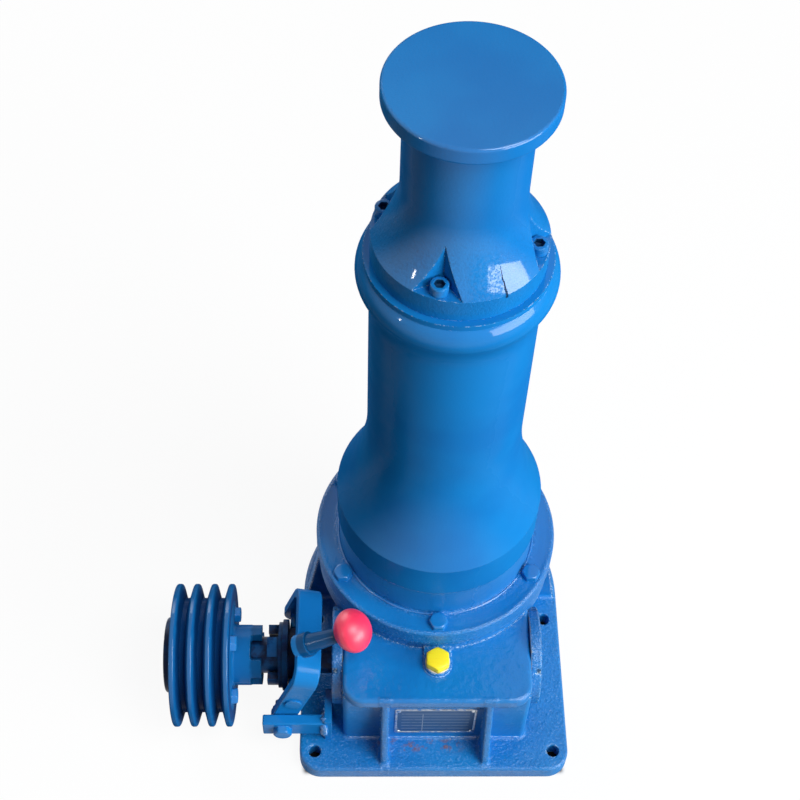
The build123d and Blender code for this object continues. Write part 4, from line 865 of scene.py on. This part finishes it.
class CAPSTAN_OT_belt_drive(Operator):
    """Finish the pulley, the jaw clutch and the worm shaft"""

    bl_idname = "capstan.belt_drive"
    bl_label = "Belt Drive"

    def execute(self, context):
        paint = context.scene.capstan_paint
        gloss = {"gloss": 0.10, "mirror": 0.05, "clear": 0.8}
        coat(enamel("pulley_enamel", 0.6, marks=pulley_marks, rubbed_and_glint=0.5, **gloss), "belt_pulley")
        coat(enamel("hub_enamel", 0.8, 0.3, gloss=0.14, marks=jaw_marks, mirror=0.15), "jaw_hub")
        coat(sleeve_iron("sleeve_iron"), "clutch_sleeve")
        coat(machined("cap_black", paint.iron, 0.28, True, 0.0, 0.4, overspray=0.5, mirror=0.12), "end_cap")
        shaft = machined("shaft_steel", paint.iron, 0.30, True, 0.1, overspray=0.6, mirror=0.12)
        coat(shaft, "worm_shaft", "sleeve_keys", "end_washer", "end_bolt")
        coat(machined("bush_bronze", paint.bronze, 0.30, True), "pulley_bushes")
        return {"FINISHED"}


class CAPSTAN_OT_shift_lever(Operator):
    """Finish the shift yoke, its pins, the handle, the knob and the bracket"""

    bl_idname = "capstan.shift_lever"
    bl_label = "Shift Lever"

    def execute(self, context):
        bar = enamel("bar_enamel", 0.8, 0.2, marks=bar_marks, mirror=0.3)
        coat(bar, "shift_yoke", "yoke_pins", "lever_bracket", "pivot_washer")
        coat(enamel("rod_enamel", 0.8, 0.1, gloss=0.10, marks=rod_marks, mirror=0.35), "handle_rod")
        coat(knob_plastic("knob_plastic"), "ball_knob")
        return {"FINISHED"}


class CAPSTAN_OT_hex_bolts(Operator):
    """Make the hex bolts of the cover, the jaw hub and the pivot"""

    bl_idname = "capstan.hex_bolts"
    bl_label = "Hex Bolts"

    def execute(self, context):
        bolts = context.scene.capstan_bolts
        shank, hub_shank = 6 * MM, 5 * MM
        painted = [enamel("bolt_enamel", 1.2, 0.12, chips=0.15, gloss=0.14, mirror=0.6, clear=0.5)]

        low, high = corners("cover_bolts")
        circle = -low[1] - bolts.flats / 2
        seat = high[2] - bolts.head
        form = hex_head(bolts.flats, bolts.head, shank, seat - low[2], dome=0.15 * MM)
        forms = in_circle(form, 6, -90, circle, (0, 0, seat), X, Y, Z)
        piece("cover_hex_bolts", forms, painted, ["cover_bolts"])

        low, high = corners("hub_bolts")
        circle = 46 * MM
        seat = high[0] - bolts.hub_head
        form = hex_head(bolts.hub_flats, bolts.hub_head, hub_shank, seat - low[0], dome=0.1 * MM)
        forms = in_circle(form, 4, 10, circle, (seat, WORM_Y, WORM_Z), Y, Z, X)
        piece("hub_hex_bolts", forms, painted, ["hub_bolts"], body="pulley")

        low, high = corners("pivot_bolt")
        middle = (low + high) / 2
        seat = low[1] + bolts.head
        form = hex_head(bolts.flats, bolts.head, shank, high[1] - seat, dome=0.15 * MM)
        forms = [placed(form, (middle[0], seat, middle[2]), X, Z, -Y)]
        piece("pivot_hex_bolt", forms, painted, ["pivot_bolt"])

        low, high = corners("pivot_nut")
        middle = (low + high) / 2
        form = hex_nut(bolts.flats, high[1] - low[1], shank)
        forms = [placed(form, (middle[0], low[1], middle[2]), Z, X, Y)]
        piece("pivot_hex_nut", forms, painted, ["pivot_nut"])
        return {"FINISHED"}


class CAPSTAN_OT_cap_screws(Operator):
    """Make the socket screws of the warping head, the worm covers and the end cap"""

    bl_idname = "capstan.cap_screws"
    bl_label = "Cap Screws"

    def execute(self, context):
        paint = context.scene.capstan_paint
        hole = machined("socket_navy", dim(paint.enamel_deep, 0.25), 0.40, metal=0.0, mirror=0.12)
        painted = [enamel("screw_enamel", 0.8, chips=0.4, gloss=0.20, mirror=0.5), hole]

        low, high = corners("head_screws")
        circle, thread = 67.5 * MM, 10 * MM
        seat = high[2] - thread
        form = socket_head(thread, 8 * MM, 8 * MM, seat - low[2], knurls=36)
        forms = in_circle(form, 4, -107, circle, (0, 0, seat), X, Y, Z)
        piece("head_cap_screws", forms, painted, ["head_screws"], body="capstan")

        circle, seat = 47.5 * MM, 107.2 * MM
        form = socket_head(6 * MM, 5 * MM, 5 * MM, depth=8 * MM, knurls=26)
        forms = []
        for way in (-1, 1):
            forms += in_circle(form, 4, 45, circle, (way * seat, WORM_Y, WORM_Z), way * Y, Z, way * X)
        piece("worm_cover_cap_screws", forms, painted, ["worm_cover_screws"])

        circle, seat = 36 * MM, -292 * MM
        form = socket_head(4 * MM, 3.5 * MM, 3 * MM, depth=5 * MM, knurls=20)
        forms = in_circle(form, 3, 90, circle, (seat, WORM_Y, WORM_Z), -Y, Z, -X)
        dark = [machined("cap_screw_steel", dim(paint.steel, 0.3), 0.30, True), hole]
        piece("end_cap_cap_screws", forms, dark, ["end_cap_screws"], body="pulley")
        return {"FINISHED"}


class CAPSTAN_OT_filler(Operator):
    """Make the oil filler plug and finish its washer"""

    bl_idname = "capstan.filler"
    bl_label = "Oil Filler"

    def execute(self, context):
        bolts = context.scene.capstan_bolts
        low, high = corners("oil_filler_plug")
        middle = (low + high) / 2
        seat = high[2] - bolts.plug_head
        crown, shank = bolts.plug_head - 0.5 * MM, 9 * MM
        form = hex_head(bolts.plug_flats, crown, shank, seat - low[2], foot=0.3 * MM, dome=0.45 * MM)
        forms = [placed(form, (middle[0], middle[1], seat), Y, -X, Z)]
        yellow = [plug_paint("plug_paint")]
        piece("filler_hex_plug", forms, yellow, ["oil_filler_plug"])
        coat(soft_sheet("washer_fibre", (0.62, 0.61, 0.58), 1.2 * MM, 0.25), "filler_washer")
        return {"FINISHED"}


class CAPSTAN_OT_nameplate(Operator):
    """Make the blank nameplate and its rivets"""

    bl_idname = "capstan.nameplate"
    bl_label = "Nameplate"

    def execute(self, context):
        marks = context.scene.capstan_marks
        low, high = corners("nameplate")
        middle = (low + high) / 2
        wide, thick, tall = high - low
        form = rounded_plate(wide, tall, 2 * MM, thick, marks.frame_width, marks.frame_height)
        forms = [placed(form, (middle[0], high[1], middle[2]), X, Z, -Y)]
        metal = plate_metal("plate_metal")
        finishes = [metal, plate_ground("plate_ground")]
        piece("blank_plate", forms, finishes, ["nameplate"])
        form = domed_rivet(2.5 * MM, 1.0 * MM)
        inset = 4 * MM
        forms = [
            placed(form, (across, low[1], up), X, Z, -Y)
            for across in (low[0] + inset, high[0] - inset)
            for up in (low[2] + inset, high[2] - inset)
        ]
        piece("plate_rivets", forms, [metal], ["nameplate_rivets"])
        return {"FINISHED"}


class CAPSTAN_OT_welds(Operator):
    """Lay weld beads where the bracket's bar meets its foot plate and the foot plate meets the base"""

    bl_idname = "capstan.welds"
    bl_label = "Welds"

    def execute(self, context):
        marks = context.scene.capstan_marks
        painted = [enamel("weld_enamel", 1.0, 0.25, gloss=0.10, clear=1.0)]
        face = -122
        seams = [
            ((face, -186, 60.5), (face, -186, 36), (-1, -1, 0)),
            ((face, -174, 36), (face, -174, 60.5), (-1, 1, 0)),
            ((face, -184.5, 62), (face, -175, 62), (-1, 0, 1)),
            ((face, -148, BASE_TOP), (face, -184, BASE_TOP), (-1, 0, 1)),
        ]
        forms = [bead_along(seam, marks.weld, marks.weld_step, k) for k, seam in enumerate(seams)]
        piece("bracket_welds", forms, painted, crease=60)
        return {"FINISHED"}


class CAPSTAN_OT_paint_beads(Operator):
    """Add the thick paint under the flange and at the feet of collar, filler boss, wall and ribs"""

    bl_idname = "capstan.paint_beads"
    bl_label = "Paint Beads"

    def execute(self, context):
        bead = context.scene.capstan_marks.bead
        painted = [enamel("bead_enamel", 1.2, 0.2, gloss=0.12, rubbed_and_glint=1.0, clear=1.0)]
        forms = [
            bead_ring((0, 0, 172.2), 107.6, bead, 3),
            bead_ring((0, -148.5, 135.2), 14.9, 0.8 * bead, 5),
            bead_ring((0, 0, 149.5), 130.4, 0.9 * bead, 7),
        ]
        wall = [(-97, -61), (-51, 51), (61, 97)]
        seams = [((a, -183, BASE_TOP), (b, -183, BASE_TOP), (0, -1, 1)) for a, b in wall]
        seams += [((rib, -186, BASE_TOP), (rib, -212, BASE_TOP), (1, 0, 1)) for rib in (-52, 60)]
        forms += [bead_along(seam, 1.7 * bead, 7 * MM, 20 + k) for k, seam in enumerate(seams)]
        piece("collar_paint", forms, painted, crease=80)
        return {"FINISHED"}


class CAPSTAN_OT_inner_parts(Operator):
    """Finish the shafts, gears, bearings, seals and gaskets inside the case"""

    bl_idname = "capstan.inner_parts"
    bl_label = "Inner Parts"

    def execute(self, context):
        paint = context.scene.capstan_paint
        turned = machined("turned_steel", paint.steel, 0.28)
        coat(turned, "main_shaft", "lower_spacer", "upper_spacer", "drum_washer", "drum_nut")
        coat(turned, "rim_bolts", "wheel_key", "drum_key")
        bearing = machined("bearing_steel", paint.steel, 0.18, stain=0.3)
        coat(bearing, "main_bearing_lower", "main_bearing_upper")
        worm_bearing = machined("worm_bearing_steel", paint.steel, 0.18, True, stain=0.3)
        coat(worm_bearing, "worm_bearing_left", "worm_bearing_right")
        coat(machined("hub_iron", paint.iron, 0.45, metal=0.6), "wheel_hub")
        coat(machined("rim_bronze", paint.bronze, 0.28, stain=0.4), "wheel_rim")
        coat(soft_sheet("seal_rubber", paint.rubber, 0.6 * MM), "main_seal", "worm_seal")
        coat(soft_sheet("gasket_sheet", paint.gasket, 1.0 * MM, 0.7), "cover_gasket", "worm_cover_gaskets")
        return {"FINISHED"}


class CAPSTAN_OT_stage(Operator):
    """Set the floor, the light and the camera"""

    bl_idname = "capstan.stage"
    bl_label = "Stage"

    def execute(self, context):
        stage = context.scene.capstan_stage
        context.scene.view_settings.view_transform = "Standard"
        self.lay_floor(stage)

        world = bpy.data.worlds.new("studio")
        context.scene.world = world
        f = Finish("studio", world)
        strength = self.seen(f) * (1.0 - stage.sky) + stage.sky
        air = f.node("Background", {"Color": (1.0, 1.0, 1.0, 1.0), "Strength": strength})
        f.node("OutputWorld", {"Surface": air})

        self.light("door", stage.door, (2.3, 1.3), (2.20, -1.54, 1.08))
        self.light("roof", stage.roof, (2.0, 2.0), (1.60, -1.20, 3.90))
        self.light("rear", stage.rear, (2.4, 2.4), (-1.50, 3.00, 2.00))
        self.light("lamp", stage.lamp, (0.07, 0.26), (-1.64, -1.07, 1.05))

        place = Matrix.Translation(Vector((-82.6, -840.9, 1615.1)) * MM)
        heading, tilt, roll = -2.546, 35.096, 2.358
        for angle, axis in ((heading, "Z"), (tilt, "X"), (roll, "Z")):
            place @= Matrix.Rotation(math.radians(angle), 4, axis)
        lens = bpy.data.cameras.new("camera")
        lens.lens = stage.lens
        context.scene.camera = link("camera", lens)
        context.scene.camera.matrix_world = place
        return {"FINISHED"}

    def lay_floor(self, stage):
        """A pale floor that is white to seen rays, keeps some shadow, and has a dark patch painted under the
        base as shade seen through its holes.
        """
        reach, level, fade = 14.0, CAD_BOX[0][2] - 0.0004, 8 * MM
        corner = [(-reach, -reach), (reach, -reach), (reach, reach), (-reach, reach)]
        floor = bpy.data.meshes.new("floor")
        floor.from_pydata([(x, y, level) for x, y in corner], [], [(0, 1, 2, 3)])
        ground = link("floor", floor)
        f = Finish("floor_paint")
        away = f.node("VectorMath", {0: f.place}, 1, operation="LENGTH")
        x, y = f.axes()[:2]
        side, front = CAD_BOX[1][0], CAD_BOX[0][1]
        # Painted shade: a mask for the dark patch under the base plate.
        under = f.ramp(abs(x), side, side - fade) * f.ramp(y, front, front + fade) * f.ramp(y, 0.0, -fade)
        seen = self.seen(f)
        white = seen * (0.92 + f.ramp(away, 0.7, 2.6) * 0.08) * (1.0 - under)
        tone = f.blend(seen, stage.floor_bounce, stage.floor)
        # Painted shade: near-black under the base, seen through its holes.
        tone = f.blend(under, tone, (0.012, 0.012, 0.013))
        flat = {"Base Color": tone, "Roughness": 1.0, "Specular IOR Level": 0.0}
        matt = f.node("BsdfPrincipled", flat)
        glow = f.node("Emission")
        f.node("OutputMaterial", {"Surface": f.node("MixShader", {0: white, 1: matt, 2: glow})})
        floor.materials.append(f.block)

    def seen(self, f):
        """1 for rays that show the background: from the camera, off gloss and through glass."""
        ways = [f.node("LightPath", out=f"Is {way} Ray") for way in ("Camera", "Glossy", "Transmission")]
        return ways[0] | ways[1] | ways[2]

    def light(self, name, watts, size, at):
        """A rectangular lamp that faces the middle of the capstan."""
        lamp = bpy.data.lights.new(name, "AREA")
        lamp.shape = "RECTANGLE"
        lamp.size, lamp.size_y = size
        lamp.energy = watts
        made = link(name, lamp)
        made.location = at
        aim = Vector((0, -0.05, 0.45)) - Vector(at)
        made.rotation_euler = aim.to_track_quat("-Z", "Y").to_euler()


OPERATORS = [
    CAPSTAN_OT_castings,
    CAPSTAN_OT_drum,
    CAPSTAN_OT_belt_drive,
    CAPSTAN_OT_shift_lever,
    CAPSTAN_OT_hex_bolts,
    CAPSTAN_OT_cap_screws,
    CAPSTAN_OT_filler,
    CAPSTAN_OT_nameplate,
    CAPSTAN_OT_welds,
    CAPSTAN_OT_paint_beads,
    CAPSTAN_OT_inner_parts,
    CAPSTAN_OT_stage,
]
SETTINGS = {
    "capstan_paint": CapstanPaint,
    "capstan_bolts": CapstanBolts,
    "capstan_marks": CapstanMarks,
    "capstan_stage": CapstanStage,
}


class CAPSTAN_PT_tools(Panel):
    """Lists the capstan's pieces and settings"""

    bl_idname = "CAPSTAN_PT_tools"
    bl_label = "Belt-Driven Capstan"
    bl_space_type = "VIEW_3D"
    bl_region_type = "UI"
    bl_category = "Capstan"

    def draw(self, context):
        for operator in OPERATORS:
            self.layout.operator(operator.bl_idname)
        for name, group in SETTINGS.items():
            box = self.layout.box()
            for field in group.__annotations__:
                box.prop(getattr(context.scene, name), field)


CLASSES = [*SETTINGS.values(), *OPERATORS, CAPSTAN_PT_tools]


def register():
    """Makes the settings, operators and panel known to Blender."""
    for kind in CLASSES:
        bpy.utils.register_class(kind)
    for name, group in SETTINGS.items():
        setattr(bpy.types.Scene, name, PointerProperty(type=group))


def unregister():
    """Takes them away again."""
    for name in SETTINGS:
        delattr(bpy.types.Scene, name)
    for kind in reversed(CLASSES):
        bpy.utils.unregister_class(kind)


def main():
    register()
    for operator in OPERATORS:
        group, name = operator.bl_idname.split(".")
        getattr(getattr(bpy.ops, group), name)()


if __name__ == "__main__":
    main()
